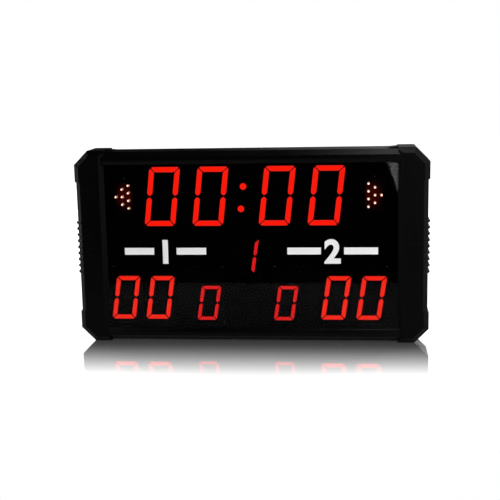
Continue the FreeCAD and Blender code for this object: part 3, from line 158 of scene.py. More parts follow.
def mix_shaders(tree, share, first, second):
    """The first shader where the share is 0, and the second where it is 1."""
    node = tree.nodes.new("ShaderNodeMixShader")
    tree.links.new(share, node.inputs["Fac"])
    tree.links.new(first, node.inputs[1])
    tree.links.new(second, node.inputs[2])
    return node.outputs["Shader"]


def empty_tree(owner, output_kind):
    """The node tree of a material or a world, with only its output, and the socket for its surface."""
    owner.use_nodes = True
    tree = owner.node_tree
    tree.nodes.clear()
    return tree, tree.nodes.new(output_kind).inputs["Surface"]


# Materials

WHITE = (1.0, 1.0, 1.0)
EVEN = (1.0, 1.0, 1.0)

# Light from behind the window passes both of its faces
WINDOW_ALPHA = 0.45
BEHIND_WINDOW = 1.0 / (1.0 - WINDOW_ALPHA) ** 2

# The slow noise changes the gloss and the fine noise the colour, each between its low and its high value
SLOW_NOISE_LOW = 0.3
SLOW_NOISE_HIGH = 0.7
SLOW_NOISE_DETAIL = 5.0
FINE_NOISE_LOW = 0.35
FINE_NOISE_HIGH = 0.65
FINE_NOISE_DETAIL = 3.0

# Painted glow: red light from the arrow lamps, painted on their boards as emission
HALO_SHIFT = 0.3 * ARROW_COLUMN_PITCH
HALO_HALF_WIDTH = 0.019
HALO_HALF_HEIGHT = 0.028
HALO_CORE_SHARE = 0.20
HALO_STRENGTH = 0.028
HALO_COLOUR = (1.0, 0.02, 0.004)

GUIDE_COLOUR = (0.10, 0.004, 0.003)


def new_material(name, colour, roughness, metallic=0.0, specular=0.5):
    """A principled material with even values; its detail is added by the functions below."""
    material = bpy.data.materials.new(name)
    material.use_nodes = True
    shader = material.node_tree.nodes["Principled BSDF"]
    shader.inputs["Base Color"].default_value = (*colour, 1.0)
    shader.inputs["Roughness"].default_value = roughness
    shader.inputs["Metallic"].default_value = metallic
    shader.inputs["Specular IOR Level"].default_value = specular
    return material


def object_noise(material, scale, stretch, detail):
    """Noise in the object's own coordinates."""
    tree = material.node_tree
    place = tree.nodes.new("ShaderNodeTexCoord")
    mapping = tree.nodes.new("ShaderNodeMapping")
    mapping.inputs["Scale"].default_value = stretch
    noise = tree.nodes.new("ShaderNodeTexNoise")
    noise.inputs["Scale"].default_value = scale
    noise.inputs["Detail"].default_value = detail
    tree.links.new(place.outputs["Object"], mapping.inputs["Vector"])
    tree.links.new(mapping.outputs["Vector"], noise.inputs["Vector"])
    return noise.outputs["Fac"]


def add_bump(material, height, depth):
    """Raise the surface by a height pattern."""
    tree = material.node_tree
    bump = tree.nodes.new("ShaderNodeBump")
    bump.inputs["Distance"].default_value = depth
    shader = tree.nodes["Principled BSDF"]
    if shader.inputs["Normal"].is_linked:
        tree.links.new(shader.inputs["Normal"].links[0].from_socket, bump.inputs["Normal"])
    tree.links.new(height, bump.inputs["Height"])
    tree.links.new(bump.outputs["Normal"], shader.inputs["Normal"])


def vary_roughness(material, pattern, swing):
    """Let the roughness wander about its even value."""
    tree = material.node_tree
    socket = tree.nodes["Principled BSDF"].inputs["Roughness"]
    middle = socket.default_value
    varied = map_range(tree, pattern, SLOW_NOISE_LOW, SLOW_NOISE_HIGH,
                       low=max(middle - swing, 0.0), high=min(middle + swing, 1.0))
    tree.links.new(varied, socket)


def vary_colour(material, pattern, light, dark):
    """Let the colour wander between two shades."""
    tree = material.node_tree
    ramp = tree.nodes.new("ShaderNodeValToRGB")
    ramp.color_ramp.elements[0].position = FINE_NOISE_LOW
    ramp.color_ramp.elements[0].color = (*dark, 1.0)
    ramp.color_ramp.elements[1].position = FINE_NOISE_HIGH
    ramp.color_ramp.elements[1].color = (*light, 1.0)
    tree.links.new(pattern, ramp.inputs["Fac"])
    tree.links.new(ramp.outputs["Color"], tree.nodes["Principled BSDF"].inputs["Base Color"])


def shades(colour, swing):
    """A lighter and a darker shade of one colour."""
    light = [min(channel * (1.0 + swing), 1.0) for channel in colour]
    dark = [channel * (1.0 - swing) for channel in colour]
    return light, dark


def surface(name, colour, roughness, metallic=0.0, specular=0.5, grain=900.0, depth=0.00002,
            stretch=EVEN, swing=0.15, roughness_swing=0.08, smudge=14.0):
    """A finished surface: fine grain in the relief and the colour, and slow wear in the gloss."""
    material = new_material(name, colour, roughness, metallic, specular)
    fine = object_noise(material, grain, stretch, FINE_NOISE_DETAIL)
    slow = object_noise(material, smudge, EVEN, SLOW_NOISE_DETAIL)
    add_bump(material, fine, depth)
    vary_roughness(material, slow, roughness_swing)
    vary_colour(material, fine, *shades(colour, swing))
    return material


def anodised_aluminium():
    """Black anodised extrusion with faint die lines along X and softly worn gloss."""
    material = surface("black_anodised_aluminium", (0.0008, 0.00085, 0.0009), roughness=0.28, specular=0.08,
                       grain=1500.0, depth=0.000012, swing=0.25, roughness_swing=0.06)
    lines = object_noise(material, scale=60.0, stretch=(0.05, 30.0, 30.0), detail=2.0)
    add_bump(material, lines, depth=0.00001)
    return material


def cap_plastic():
    """Black moulding with a fine spark-eroded texture."""
    material = surface("moulded_cap_plastic", (0.0009, 0.0009, 0.00095), roughness=0.34, specular=0.055,
                       grain=2600.0, depth=0.00003, swing=0.3, roughness_swing=0.07)
    tree = material.node_tree
    place = tree.nodes.new("ShaderNodeTexCoord")
    cells = tree.nodes.new("ShaderNodeTexVoronoi")
    cells.inputs["Scale"].default_value = 1800.0
    tree.links.new(place.outputs["Object"], cells.inputs["Vector"])
    add_bump(material, cells.outputs["Distance"], depth=0.00002)
    return material


def smoked_acrylic():
    """Dark tinted sheet that lets the lit segments through."""
    material = surface("smoked_acrylic", (0.0006, 0.0005, 0.0006), roughness=0.02, specular=0.14,
                       grain=40.0, depth=0.0, swing=0.1, roughness_swing=0.015, smudge=9.0)
    material.node_tree.nodes["Principled BSDF"].inputs["Alpha"].default_value = WINDOW_ALPHA
    return material


def powder_coat():
    """Black powder coat with orange peel."""
    return surface("black_powder_coat", (0.014, 0.014, 0.0145), roughness=0.5, specular=0.4,
                   grain=1100.0, depth=0.00006, swing=0.12)


def solder_mask(name):
    """Black solder mask with an upright grain."""
    return surface(name, (0.0040, 0.0034, 0.0034), roughness=0.5, specular=0.05,
                   grain=260.0, depth=0.00003, stretch=(1.0, 1.0, 0.15), swing=0.3)


def arrow_board_finish(side):
    """Black solder mask with a painted glow of the lamps' red light over it, made by emission."""
    material = solder_mask("left_arrow_board_mask" if side < 0 else "right_arrow_board_mask")
    tree = material.node_tree
    shader = tree.nodes["Principled BSDF"]
    place = tree.nodes.new("ShaderNodeTexCoord")
    middle_x = ARROW_CENTRE_X + side * (ARROW_SPACING / 2 - HALO_SHIFT)
    middle = (middle_x, DIGIT_FACE + LAMP_LENGTH, ARROW_CENTRE_Z)
    from_middle = vector_step(tree, "SUBTRACT", place.outputs["Object"], middle)
    spread = vector_step(tree, "MULTIPLY", from_middle, (1.0 / HALO_HALF_WIDTH, 0.0, 1.0 / HALO_HALF_HEIGHT))
    reach = vector_step(tree, "LENGTH", spread)
    # Painted glow: emission on the board, strongest at each arrow's middle and fading outwards
    glow = map_range(tree, reach, 1.0, HALO_CORE_SHARE, high=HALO_STRENGTH * BEHIND_WINDOW, smooth=True)
    tree.links.new(glow, shader.inputs["Emission Strength"])
    shader.inputs["Emission Color"].default_value = (*HALO_COLOUR, 1.0)
    return material


def light_material(name, core, rim, strength, rim_facing=-0.72, core_facing=-0.97):
    """A lit light guide: full colour where it faces the viewer, deeper on its rim and sides."""
    material = new_material(name, GUIDE_COLOUR, roughness=0.35, specular=0.3)
    tree = material.node_tree
    shader = tree.nodes["Principled BSDF"]
    geometry = tree.nodes.new("ShaderNodeNewGeometry")
    facing_viewer = split_vector(tree, geometry.outputs["Normal"])["Y"]
    mix = tree.nodes.new("ShaderNodeMix")
    mix.data_type = "RGBA"
    mix.inputs["A"].default_value = (*rim, 1.0)
    mix.inputs["B"].default_value = (*core, 1.0)
    tree.links.new(map_range(tree, facing_viewer, rim_facing, core_facing), mix.inputs["Factor"])
    tree.links.new(mix.outputs["Result"], shader.inputs["Emission Color"])
    shader.inputs["Emission Strength"].default_value = strength * BEHIND_WINDOW
    ripple = object_noise(material, scale=220.0, stretch=EVEN, detail=1.0)
    add_bump(material, ripple, depth=0.00002)
    return material


aluminium = anodised_aluminium()
cap_finish = cap_plastic()
acrylic = smoked_acrylic()
coated_sheet = powder_coat()
black_zinc = surface("black_zinc_screws", (0.02, 0.02, 0.021), roughness=0.34, metallic=0.6,
                     grain=2400.0, depth=0.00001)
plated_steel = surface("zinc_plated_steel", (0.56, 0.56, 0.54), roughness=0.3, metallic=1.0,
                       grain=1500.0, depth=0.00001, swing=0.08)
bare_aluminium = surface("mill_finish_aluminium", (0.66, 0.66, 0.67), roughness=0.36, metallic=1.0,
                         grain=300.0, depth=0.00001, stretch=(1.0, 12.0, 12.0), swing=0.06)
switch_plastic = surface("switch_plastic", (0.014, 0.014, 0.014), roughness=0.28,
                         grain=2000.0, depth=0.00001)
rocker_plastic = surface("rocker_plastic", (0.018, 0.018, 0.018), roughness=0.2,
                         grain=1600.0, depth=0.000006)
natural_nylon = surface("natural_nylon", (0.74, 0.72, 0.66), roughness=0.45,
                        grain=1200.0, depth=0.00001, swing=0.05)
battery_wrap = surface("battery_shrink_wrap", (0.02, 0.07, 0.28), roughness=0.25,
                       grain=120.0, depth=0.00015, swing=0.1)
buzzer_plastic = surface("buzzer_plastic", (0.014, 0.014, 0.014), roughness=0.4,
                         grain=1500.0, depth=0.00002)
chip_plastic = surface("component_plastic", (0.022, 0.022, 0.024), roughness=0.45,
                       grain=2500.0, depth=0.00001)
green_mask = surface("green_solder_mask", (0.01, 0.085, 0.035), roughness=0.25,
                     grain=260.0, depth=0.00003, stretch=(1.0, 1.0, 0.15), swing=0.25)
black_mask = solder_mask("black_solder_mask")
ribbon_grey = surface("ribbon_insulation", (0.36, 0.36, 0.37), roughness=0.4,
                      grain=800.0, depth=0.0002, stretch=(1.0, 0.01, 0.01), swing=0.05)
lead_insulation = surface("lead_insulation", (0.42, 0.015, 0.012), roughness=0.4,
                          grain=700.0, depth=0.00001, swing=0.08)
housing_black = surface("module_face_black", (0.0018, 0.0016, 0.0017), roughness=0.75, specular=0.02,
                        grain=900.0, depth=0.00003, swing=0.3)
tray_black = surface("tray_black", (0.0018, 0.0017, 0.0018), roughness=0.7, specular=0.02,
                     grain=1100.0, depth=0.00005)
unlit_guide = surface("unlit_light_guide", (0.0050, 0.0014, 0.0014), roughness=0.45, specular=0.08,
                      grain=500.0, depth=0.00002)
clock_light = light_material("clock_light", strength=0.95,
                             core=(1.0, 0.0100, 0.0022), rim=(0.85, 0.016, 0.011))
score_light = light_material("score_light", strength=0.97,
                             core=(0.90, 0.020, 0.0075), rim=(0.60, 0.015, 0.012))
small_light = light_material("small_digit_light", strength=0.97,
                             core=(0.70, 0.010, 0.010), rim=(0.50, 0.010, 0.010))
lamp_light = light_material("arrow_lamp_light", strength=2.0,
                            core=(1.0, 0.62, 0.46), rim=(0.03, 0.001, 0.0005),
                            rim_facing=-0.30, core_facing=-0.80)
left_arrow_mask = arrow_board_finish(-1)
right_arrow_mask = arrow_board_finish(1)
white_print = surface("white_print", (0.97, 0.97, 0.96), roughness=0.5, specular=0.2,
                      grain=1800.0, depth=0.000005, swing=0.04)
mark_white = surface("rocker_mark_white", (0.62, 0.62, 0.60), roughness=0.45,
                     grain=1800.0, depth=0.000004, swing=0.05)

# Nodes with a finish of their own come first, and families of nodes by the end of their names

NODE_FINISHES = {
    "front_window": acrylic,
    "display_tray": tray_black,
    "unlit_segments": unlit_guide,
    "colon_lamps": clock_light,
    "left_arrow_lamps": lamp_light,
    "right_arrow_lamps": lamp_light,
    "left_arrow_board": left_arrow_mask,
    "right_arrow_board": right_arrow_mask,
    "controller_board": green_mask,
    "board_pillars": natural_nylon,
    "controller_components": chip_plastic,
    "remote_receiver": green_mask,
    "receiver_shield": plated_steel,
    "battery_pack": battery_wrap,
    "battery_strap": bare_aluminium,
    "strap_screws": plated_steel,
    "ribbon_cables": ribbon_grey,
    "rear_panel": coated_sheet,
    "rear_panel_screws": black_zinc,
    "end_cap_screws": black_zinc,
    "bracket_inserts": plated_steel,
    "buzzer": buzzer_plastic,
    "dc_inlet": switch_plastic,
    "dc_inlet_nut": plated_steel,
    "power_switch_body": switch_plastic,
    "switch_terminals": plated_steel,
    "power_rocker": rocker_plastic,
    "power_leads": lead_insulation,
}
FAMILY_FINISHES = {
    "_housing": housing_black,
    "_rail": aluminium,
    "_end_cap": cap_finish,
    "_board": black_mask,
}


def is_lit(name):
    """Whether a CAD node holds lit segments."""
    return name.endswith("_segments") and name != "unlit_segments"


def finish_for(name):
    """The finish of a CAD node, which the piece in its place has too."""
    if is_lit(name):
        if name.startswith("clock"):
            return clock_light
        return score_light if "score" in name else small_light
    if name in NODE_FINISHES:
        return NODE_FINISHES[name]
    return next(finish for ending, finish in FAMILY_FINISHES.items() if name.endswith(ending))


def dress_nodes():
    """Give each CAD node its material."""
    for name, node in nodes.items():
        node.data.materials.clear()
        node.data.materials.append(finish_for(name))


# Rounded edges of CAD nodes

EDGE_ROUNDING = {
    "top_rail": 0.0005,
    "bottom_rail": 0.0005,
    "left_end_cap": 0.0006,
    "right_end_cap": 0.0006,
    "rear_panel": 0.0002,
    "front_window": 0.0003,
    "power_switch_body": 0.0003,
    "power_rocker": 0.0003,
    "dc_inlet": 0.0002,
}
# Edges that turn by more than this are rounded
LEAST_TURN = math.radians(28.0)
CAP_LEAST_TURN = math.radians(38.0)
ROUNDING_SEGMENTS = 2
JOIN_DISTANCE = 0.000001


def soften(name, width):
    """Round a CAD node's sharp edges a little, so that they catch the light."""
    node = nodes[name]
    weld = node.modifiers.new("join_faces", "WELD")
    weld.merge_threshold = JOIN_DISTANCE
    bevel = node.modifiers.new("edge_rounding", "BEVEL")
    bevel.width = width
    bevel.segments = ROUNDING_SEGMENTS
    bevel.limit_method = "ANGLE"
    bevel.angle_limit = CAP_LEAST_TURN if name.endswith("_end_cap") else LEAST_TURN
    bevel.harden_normals = True
    bevel.use_clamp_overlap = True
    bevel.loop_slide = False


# Shapes

# Angle in degrees over which an edge stays sharp in the smooth shading
CREASE = 30.0


def bridge(mesh, low, high):
    """Faces between two closed rings with as many points each."""
    for i in range(len(low)):
        following = (i + 1) % len(low)
        mesh.faces.new((low[i], low[following], high[following], high[i]))


def add_lathe(mesh, profile, place, sides):
    """Turn a profile of radius and height about the local Z axis and put it in its place."""
    rings = []
    for radius, height in profile:
        if radius == 0.0:
            rings.append([mesh.verts.new(place @ Vector((0.0, 0.0, height)))])
            continue
        ring = []
        for i in range(sides):
            turn = math.tau * i / sides
            point = Vector((radius * math.cos(turn), radius * math.sin(turn), height))
            ring.append(mesh.verts.new(place @ point))
        rings.append(ring)
    for low, high in zip(rings, rings[1:]):
        if len(low) == len(high):
            bridge(mesh, low, high)
            continue
        for i in range(sides):
            following = (i + 1) % sides
            if len(low) == 1:
                mesh.faces.new((low[0], high[i], high[following]))
            else:
                mesh.faces.new((low[i], low[following], high[0]))


def add_slab(mesh, corners, front, back):
    """A flat plate with its outline given in X and Z, between two places in Y."""
    near = [mesh.verts.new((x, front, z)) for x, z in corners]
    far = [mesh.verts.new((x, back, z)) for x, z in corners]
    count = len(corners)
    mesh.faces.new(near)
    mesh.faces.new(list(reversed(far)))
    for i in range(count):
        following = (i + 1) % count
        mesh.faces.new((near[i], far[i], far[following], near[following]))


def smooth_faces(mesh, crease):
    """Smooth shading, but for edges that turn by more than the crease angle."""
    limit = math.radians(crease)
    for face in mesh.faces:
        face.smooth = True
    for edge in mesh.edges:
        if len(edge.link_faces) == 2 and edge.calc_face_angle(0.0) > limit:
            edge.smooth = False


def new_object(name, mesh, material=None):
    """Turn mesh data into an object of the scene."""
    data = bpy.data.meshes.new(name)
    mesh.to_mesh(data)
    mesh.free()
    if material:
        data.materials.append(material)
    item = bpy.data.objects.new(name, data)
    bpy.context.scene.collection.objects.link(item)
    return item


def finish_piece(name, mesh, material, body="board", crease=None):
    """Turn mesh data into a piece that rides on a body, smooth if it has a crease angle."""
    bmesh.ops.recalc_face_normals(mesh, faces=mesh.faces)
    if crease:
        smooth_faces(mesh, crease)
    piece = new_object(name, mesh, material)
    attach(piece, body)
    return piece


def facing(direction, point):
    """A place whose local Z axis points along the direction."""
    return Matrix.Translation(Vector(point)) @ Vector(direction).to_track_quat("Z", "Y").to_matrix().to_4x4()


def dome(radius, base, height, steps):
    """Profile points of a dome from its rim to its crown."""
    points = []
    for i in range(steps + 1):
        turn = math.pi / 2 * i / steps
        points.append((radius * math.cos(turn) if i < steps else 0.0, base + height * math.sin(turn)))
    return points


# Grip ribs of the end caps

RIB_COUNT = 9
RIB_PITCH = 0.0108
RIB_RADIUS = 0.0033
RIB_START_X = BOARD_HALF_WIDTH - 0.0317
RIB_TURN_X = BOARD_HALF_WIDTH - 0.0110
RIB_SIDE_X = BOARD_HALF_WIDTH - 0.0025
RIB_FACE_Y = 0.0361
RIB_BEVEL_Y = 0.0276
RIB_SECTION_STEPS = 16
RIB_END_STEPS = 6
RIB_TIP_SHARE = 0.02
RIB_CREASE = 34.0


def rib_rings():
    """Places along one rib: its point in X and Y, its outward direction there and its size as a share."""
    route = [
        Vector((RIB_START_X, -RIB_FACE_Y)),
        Vector((RIB_TURN_X, -RIB_FACE_Y)),
        Vector((RIB_SIDE_X, -RIB_BEVEL_Y)),
        Vector((RIB_SIDE_X, RIB_BEVEL_Y)),
        Vector((RIB_TURN_X, RIB_FACE_Y)),
        Vector((RIB_START_X, RIB_FACE_Y)),
    ]
    runs = [(route[i + 1] - route[i]).normalized() for i in range(len(route) - 1)]
    outward = [Vector((run.y, -run.x)) for run in runs]
    rings = []
    for i in range(RIB_END_STEPS):
        turn = math.pi / 2 * (1.0 - i / RIB_END_STEPS)
        step = RIB_RADIUS * math.sin(turn)
        rings.append((route[0] - runs[0] * step, outward[0], max(math.cos(turn), RIB_TIP_SHARE)))
    rings.append((route[0], outward[0], 1.0))
    for i in range(1, len(route) - 1):
        mitre = (outward[i - 1] + outward[i]).normalized()
        rings.append((route[i], mitre / mitre.dot(outward[i]), 1.0))
    rings.append((route[-1], outward[-1], 1.0))
    for i in range(1, RIB_END_STEPS + 1):
        turn = math.pi / 2 * i / RIB_END_STEPS
        step = RIB_RADIUS * math.sin(turn)
        rings.append((route[-1] + runs[-1] * step, outward[-1], max(math.cos(turn), RIB_TIP_SHARE)))
    return rings


def make_grip_ribs(name, side):
    """Smooth half-round ribs over the end cap's own."""
    mesh = bmesh.new()
    for row in range(RIB_COUNT):
        height = BOARD_MIDDLE_Z + (row - (RIB_COUNT - 1) / 2) * RIB_PITCH
        previous = None
        for point, outward, share in rib_rings():
            ring = []
            for i in range(RIB_SECTION_STEPS + 1):
                turn = math.pi * (i / RIB_SECTION_STEPS - 0.5)
                reach = RIB_RADIUS * share * math.cos(turn)
                rise = RIB_RADIUS * share * math.sin(turn)
                spot = point + outward * reach
                ring.append(mesh.verts.new((side * spot.x, spot.y, height + rise)))
            if previous:
                for i in range(RIB_SECTION_STEPS):
                    mesh.faces.new((previous[i], previous[i + 1], ring[i + 1], ring[i]))
            previous = ring
    finish_piece(name, mesh, cap_finish, crease=RIB_CREASE)


# Screws

SCREW_SIDES = 28
SCREW_CREASE = 40.0
HEAD_WALL_SHARE = 0.42
HEAD_DOME_SHARE = 0.58
HEAD_DOME_STEPS = 6
TIP_RADIUS_SHARE = 0.7
TIP_START_SHARE = 0.93
RECESS_LENGTH_SHARE = 0.62
RECESS_WIDTH_SHARE = 0.17
RECESS_FLOOR_SHARE = 0.30
RECESS_TOP_SHARE = 1.2
RECESS_FLOOR_REACH = 0.55
RECESS_TOP_REACH = 1.1
PANEL_SCREW_COUNT = 4
PANEL_SCREW_PITCH = 0.150
PANEL_SCREW_ROW = 0.1455
CAP_SCREW_SEAT = 0.2702
CAP_SCREW_DEPTH = 0.020
CAP_SCREW_ROW = 0.1595


def make_recess_wing(head_radius, head_height, turn):
    """One wing of a cross recess: a bar that narrows as it goes down."""
    length = head_radius * RECESS_LENGTH_SHARE
    width = head_radius * RECESS_WIDTH_SHARE
    top = head_height * RECESS_TOP_SHARE
    floor = head_height * RECESS_FLOOR_SHARE
    mesh = bmesh.new()
    rings = []
    for height, share in ((floor, RECESS_FLOOR_REACH), (top, RECESS_TOP_REACH)):
        reach = length * share
        corners = ((-reach, -width), (reach, -width), (reach, width), (-reach, width))
        rings.append([mesh.verts.new((x, y, height)) for x, y in corners])
    low, high = rings
    mesh.faces.new(list(reversed(low)))
    mesh.faces.new(high)
    bridge(mesh, low, high)
    bmesh.ops.recalc_face_normals(mesh, faces=mesh.faces)
    wing = new_object("recess_wing", mesh)
    wing.matrix_world = Matrix.Rotation(turn, 4, "Z")
    return wing


def make_screw(head_radius, head_height, shank_radius, shank_length):
    """Pan head screw with a cross recess; its seat is at the origin and its head points up."""
    mesh = bmesh.new()
    wall = head_height * HEAD_WALL_SHARE
    profile = [(0.0, -shank_length), (shank_radius * TIP_RADIUS_SHARE, -shank_length),
               (shank_radius, -shank_length * TIP_START_SHARE), (shank_radius, 0.0), (head_radius, 0.0),
               (head_radius, wall)]
    profile += dome(head_radius, wall, head_height * HEAD_DOME_SHARE, HEAD_DOME_STEPS)[1:]
    add_lathe(mesh, profile, Matrix.Identity(4), SCREW_SIDES)
    bmesh.ops.recalc_face_normals(mesh, faces=mesh.faces)
    smooth_faces(mesh, SCREW_CREASE)
    blank = new_object("screw_blank", mesh)
    cutters = []
    for turn in (0.0, math.pi / 2):
        cutters.append(make_recess_wing(head_radius, head_height, turn))
        cut = blank.modifiers.new("recess", "BOOLEAN")
        cut.operation = "DIFFERENCE"
        cut.solver = "EXACT"
        cut.object = cutters[-1]
    graph = bpy.context.evaluated_depsgraph_get()
    finished = bpy.data.meshes.new_from_object(blank.evaluated_get(graph))
    for spare in [blank] + cutters:
        bpy.data.objects.remove(spare)
    return finished


def place_screws(name, screw, places, node, material):
    """Copies of one screw in several places, as one piece."""
    mesh = bmesh.new()
    for place in places:
        copy = screw.copy()
        copy.transform(place)
        mesh.from_mesh(copy)
        bpy.data.meshes.remove(copy)
    piece = new_object(name, mesh, material)
    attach(piece, "board")
    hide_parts(node)


def make_all_screws():
    """Cross recess pan heads in place of the CAD nodes' plain ones, each at a turn of its own."""
    screw = make_screw(head_radius=0.0028, head_height=0.0017, shank_radius=0.00145, shank_length=0.006)
    places = []
    for i in range(PANEL_SCREW_COUNT):
        x = (i - (PANEL_SCREW_COUNT - 1) / 2) * PANEL_SCREW_PITCH
        for row, side in enumerate((-1, 1)):
            point = (x, PANEL_FACE, BOARD_MIDDLE_Z + side * PANEL_SCREW_ROW)
            places.append(facing(TO_BACK, point) @ Matrix.Rotation(0.7 * i + 1.9 * row, 4, "Z"))
    place_screws("panel_screws", screw, places, "rear_panel_screws", black_zinc)
    screw = make_screw(head_radius=0.0038, head_height=0.0028, shank_radius=0.0016, shank_length=0.022)
    places = []
    for side in (-1, 1):
        for depth in (-1, 1):
            for row in (-1, 1):
                point = (side * CAP_SCREW_SEAT, depth * CAP_SCREW_DEPTH, BOARD_MIDDLE_Z + row * CAP_SCREW_ROW)
                places.append(facing((side, 0, 0), point) @ Matrix.Rotation(0.5 * depth + row, 4, "Z"))
    place_screws("cap_screws", screw, places, "end_cap_screws", black_zinc)


# Lit segments

# Shares of a digit's height
SHORT_EDGE_SHARE = 0.030
DEEPER_CUT_SHARE = 0.005
GUIDE_CORNER_SHARE = 0.029
GUIDE_RIM_SHARE = 0.012
GUIDE_CORNER_STEPS = 5
FRONT_FACING = -0.9
SAME_POINT = 0.00001
SAME_PLANE = math.radians(1.0)


def front_outlines(node):
    """The outline of each lit segment's front face, in X and Z, and where its front and back lie."""
    mesh = bmesh.new()
    mesh.from_mesh(node.data)
    mesh.transform(node.matrix_world)
    bmesh.ops.remove_doubles(mesh, verts=mesh.verts, dist=SAME_POINT)
    bmesh.ops.dissolve_limit(mesh, angle_limit=SAME_PLANE, verts=mesh.verts, edges=mesh.edges)
    front = min(vertex.co.y for vertex in mesh.verts)
    back = max(vertex.co.y for vertex in mesh.verts)
    outlines = []
    for face in mesh.faces:
        if face.normal.y < FRONT_FACING:
            outlines.append([Vector((loop.vert.co.x, loop.vert.co.z)) for loop in face.loops])
    mesh.free()
    return outlines, front, back


def deepen_cuts(corners, short, deeper):
    """Move each short cut across a tip further into the segment."""
    count = len(corners)
    moved = [corner.copy() for corner in corners]
    for i in range(count):
        following = (i + 1) % count
        if (corners[following] - corners[i]).length < short:
            before = (corners[i - 1] - corners[i]).normalized()
            after = (corners[(i + 2) % count] - corners[following]).normalized()
            across = (corners[following] - corners[i]).normalized()
            square = Vector((-across.y, across.x))
            moved[i] = corners[i] + before * deeper / abs(before.dot(square))
            moved[following] = corners[following] + after * deeper / abs(after.dot(square))
    return moved


def round_corners(corners, reach):
    """The outline with each corner replaced by a short curve."""
    points = []
    count = len(corners)
    for i in range(count):
        corner = corners[i]
        before = corners[i - 1] - corner
        after = corners[(i + 1) % count] - corner
        start = corner + before.normalized() * min(reach, before.length / 2)
        end = corner + after.normalized() * min(reach, after.length / 2)
        for step in range(GUIDE_CORNER_STEPS):
            share = step / GUIDE_CORNER_STEPS
            points.append(start * (1 - share) ** 2 + corner * 2 * share * (1 - share) + end * share ** 2)
    return points


def shrink(points, distance):
    """The closed outline moved inwards all round."""
    count = len(points)
    centre = sum(points, Vector((0.0, 0.0))) / count
    moved = []
    for i in range(count):
        along = (points[(i + 1) % count] - points[i - 1]).normalized()
        inward = Vector((-along.y, along.x))
        if inward.dot(centre - points[i]) < 0.0:
            inward = -inward
        moved.append(points[i] + inward * distance)
    return moved


def make_light_guides(name):
    """Lit segments with rounded corners and a bevelled rim, in place of the CAD node's plain ones."""
    outlines, front, back = front_outlines(nodes[name])
    heights = [corner.y for corners in outlines for corner in corners]
    size = max(heights) - min(heights)
    rim = size * GUIDE_RIM_SHARE
    mesh = bmesh.new()
    for corners in outlines:
        cut = deepen_cuts(corners, size * SHORT_EDGE_SHARE, size * DEEPER_CUT_SHARE)
        outer = round_corners(cut, size * GUIDE_CORNER_SHARE)
        inner = shrink(outer, rim)
        rings = []
        for points, depth in ((outer, back), (outer, front + rim), (inner, front)):
            rings.append([mesh.verts.new((point.x, depth, point.y)) for point in points])
        mesh.faces.new(rings[0])
        mesh.faces.new(list(reversed(rings[2])))
        for low, high in zip(rings, rings[1:]):
            bridge(mesh, low, high)
    piece = finish_piece(name.replace("_segments", "_light_guides"), mesh, finish_for(name),
                         crease=CREASE)
    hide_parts(name)


# Arrow lamps and the colon

# The columns of an arrow, from its base to its tip, and the number of lamps in each
ARROW_COLUMNS = ((-1, 4), (0, 3), (1, 1))
LAMP_RADIUS = 0.0021
LAMP_STEM_RADIUS = LAMP_RADIUS * 0.93
LAMP_RIM_HEIGHT = 0.001
LAMP_DOME_STEPS = 8
LAMP_SIDES = 24
COLON_PLACES = ((-0.01114, 0.27105), (-0.01566, 0.23275))
COLON_RADIUS = 0.0058 * 0.96
COLON_FACE_RADIUS = 0.0058 * 0.9
COLON_DEPTH = 0.004
COLON_BEVEL = 0.0004
COLON_SIDES = 40


def make_arrow_lamps(name, side):
    """Eight round lamps with domed lenses and a rim at the board."""
    mesh = bmesh.new()
    stem = LAMP_LENGTH - LAMP_RADIUS
    profile = [(0.0, 0.0), (LAMP_RADIUS, 0.0), (LAMP_RADIUS, LAMP_RIM_HEIGHT),
               (LAMP_STEM_RADIUS, LAMP_RIM_HEIGHT), (LAMP_STEM_RADIUS, stem)]
    profile += dome(LAMP_STEM_RADIUS, stem, LAMP_RADIUS, LAMP_DOME_STEPS)[1:]
    for column, lamp_count in ARROW_COLUMNS:
        for lamp in range(lamp_count):
            x = ARROW_CENTRE_X + side * (ARROW_SPACING / 2 + column * ARROW_COLUMN_PITCH)
            z = ARROW_CENTRE_Z + (lamp - (lamp_count - 1) / 2) * ARROW_ROW_PITCH
            add_lathe(mesh, profile, facing(TO_FRONT, (x, DIGIT_FACE + LAMP_LENGTH, z)), LAMP_SIDES)
    piece = finish_piece(name, mesh, lamp_light, crease=CREASE)
    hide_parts(name.replace("_lenses", "_lamps"))


def make_colon_lamps():
    """Two round light guides with a bevelled face."""
    mesh = bmesh.new()
    profile = [(0.0, 0.0), (COLON_RADIUS, 0.0), (COLON_RADIUS, COLON_DEPTH - COLON_BEVEL),
               (COLON_FACE_RADIUS, COLON_DEPTH), (0.0, COLON_DEPTH)]
    for x, z in COLON_PLACES:
        add_lathe(mesh, profile, facing(TO_FRONT, (x, DIGIT_FACE + COLON_DEPTH, z)), COLON_SIDES)
    piece = finish_piece("colon_light_guides", mesh, clock_light, crease=CREASE)
    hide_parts("colon_lamps")


# White marks in the places of the two team names

MARK_BASE_Z = 0.1405
MARK_HEIGHT = 0.0400
DIGIT_HEIGHT_SHARE = 0.72
STROKE_WEIGHT = 0.0020
NUMBER_HALF_ROOM = MARK_HEIGHT * 0.34
BAR_HEIGHT = 0.0120
BAR_GAP = 0.0060
PRINT_DEPTH = 0.00005


